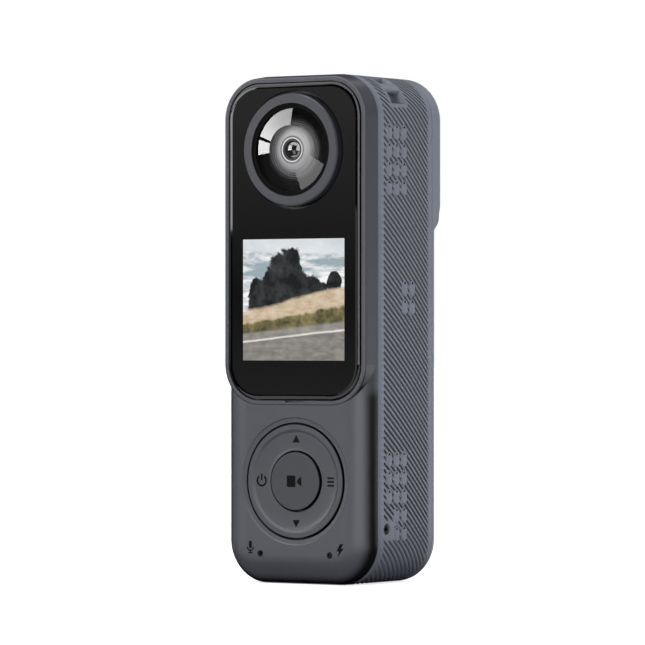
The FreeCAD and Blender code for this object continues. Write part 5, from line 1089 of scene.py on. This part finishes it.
def rock(centre_x, centre_z, half_x, half_z, noise):
    """1 inside a rough oval."""
    moved = add_node(tree, "ShaderNodeMapping", {
        "Vector": flat, "Location": (-centre_x / half_x, 0, -centre_z / half_z),
        "Scale": (1 / half_x, 1, 1 / half_z)})
    far = add_node(tree, "ShaderNodeVectorMath", [moved], operation="LENGTH")
    rough = add_node(tree, "ShaderNodeMath", [noise, ROCK_ROUGH, far], operation="MULTIPLY_ADD")
    return add_node(tree, "ShaderNodeMapRange", [rough, *ROCK_EDGE, 1, 0])


broad_noise = picture_noise(3.0, 1.6)
fine_noise = picture_noise(22.0, 2.5, 6.0)
rough_noise = picture_noise(7.0, 1.0, 6.0)
foam = picture_noise(9.0, 5.0)
stone = two_tones(rough_noise, "#15171a", "#4c4d4f", 0.4, 0.72)
# Each rock's middle and half its sides, as shares of the picture.
ROCKS = [(0.42, 0.56, 0.22, 0.36), (0.2, 0.46, 0.16, 0.22), (0.66, 0.44, 0.22, 0.26), (0.9, 0.64, 0.07, 0.09)]
# Layers from the back: haze, surf, rocks, sand, dune grass, verge, the road's line and the road.
layers = [
    (two_tones(fine_noise, "#aab6bf", "#f4f6f7", 0.4, 0.62), under_line(0.9, 0.02, broad_noise, 0.05)),
    (two_tones(foam, "#9fb0b8", "#ffffff", 0.42, 0.55), under_line(0.8, -0.06, broad_noise, 0.1)),
    *((stone, rock(*sides, rough_noise)) for sides in ROCKS),
    (two_tones(fine_noise, "#c4ab8a", "#e2d2ba"), under_line(0.4, -0.2, broad_noise, 0.1)),
    (two_tones(rough_noise, "#4b4a34", "#8e8258", 0.4, 0.6), under_line(0.3, -0.15, rough_noise, 0.1)),
    (two_tones(fine_noise, "#86837e", "#a6a29b"), under_line(0.22, -0.1, broad_noise, 0.03)),
    (two_tones(fine_noise, "#dcd9d2", "#efece6"), under_line(0.16, -0.1, broad_noise, 0.03, 0.004)),
    (two_tones(fine_noise, "#7b7873", "#9a968f"), under_line(0.145, -0.1, broad_noise, 0.03, 0.004)),
]
picture = two_tones(broad_noise, "#cfd6dc", "#eceff1")
for tones, mask in layers:
    picture = lay_over(picture, tones, mask)
shader = add_node(tree, "ShaderNodeBsdfPrincipled", {
    "Emission Color": picture, "Emission Strength": PICTURE_GLOW, "Base Color": linear("#050505"),
    "Roughness": 0.08})
add_node(tree, "ShaderNodeOutputMaterial", {"Surface": shader})

work = bmesh.new()
middle = Matrix.Translation((0, GLASS_FRONT, PICTURE_LOW + PICTURE_HALF))
sides = Matrix.Diagonal((PICTURE_SIDE, 2 * PICTURE_PROUD, PICTURE_SIDE, 1))
bmesh.ops.create_cube(work, size=1.0, matrix=middle @ sides)
plate_mesh = bpy.data.meshes.new("display_picture")
work.to_mesh(plate_mesh)
work.free()
plate_mesh.materials.append(lit)
plate = linked("display_picture", plate_mesh)
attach(plate, "camera_body")
print("picture side in mm:", round(PICTURE_SIDE / MM, 1), "layers:", len(layers))
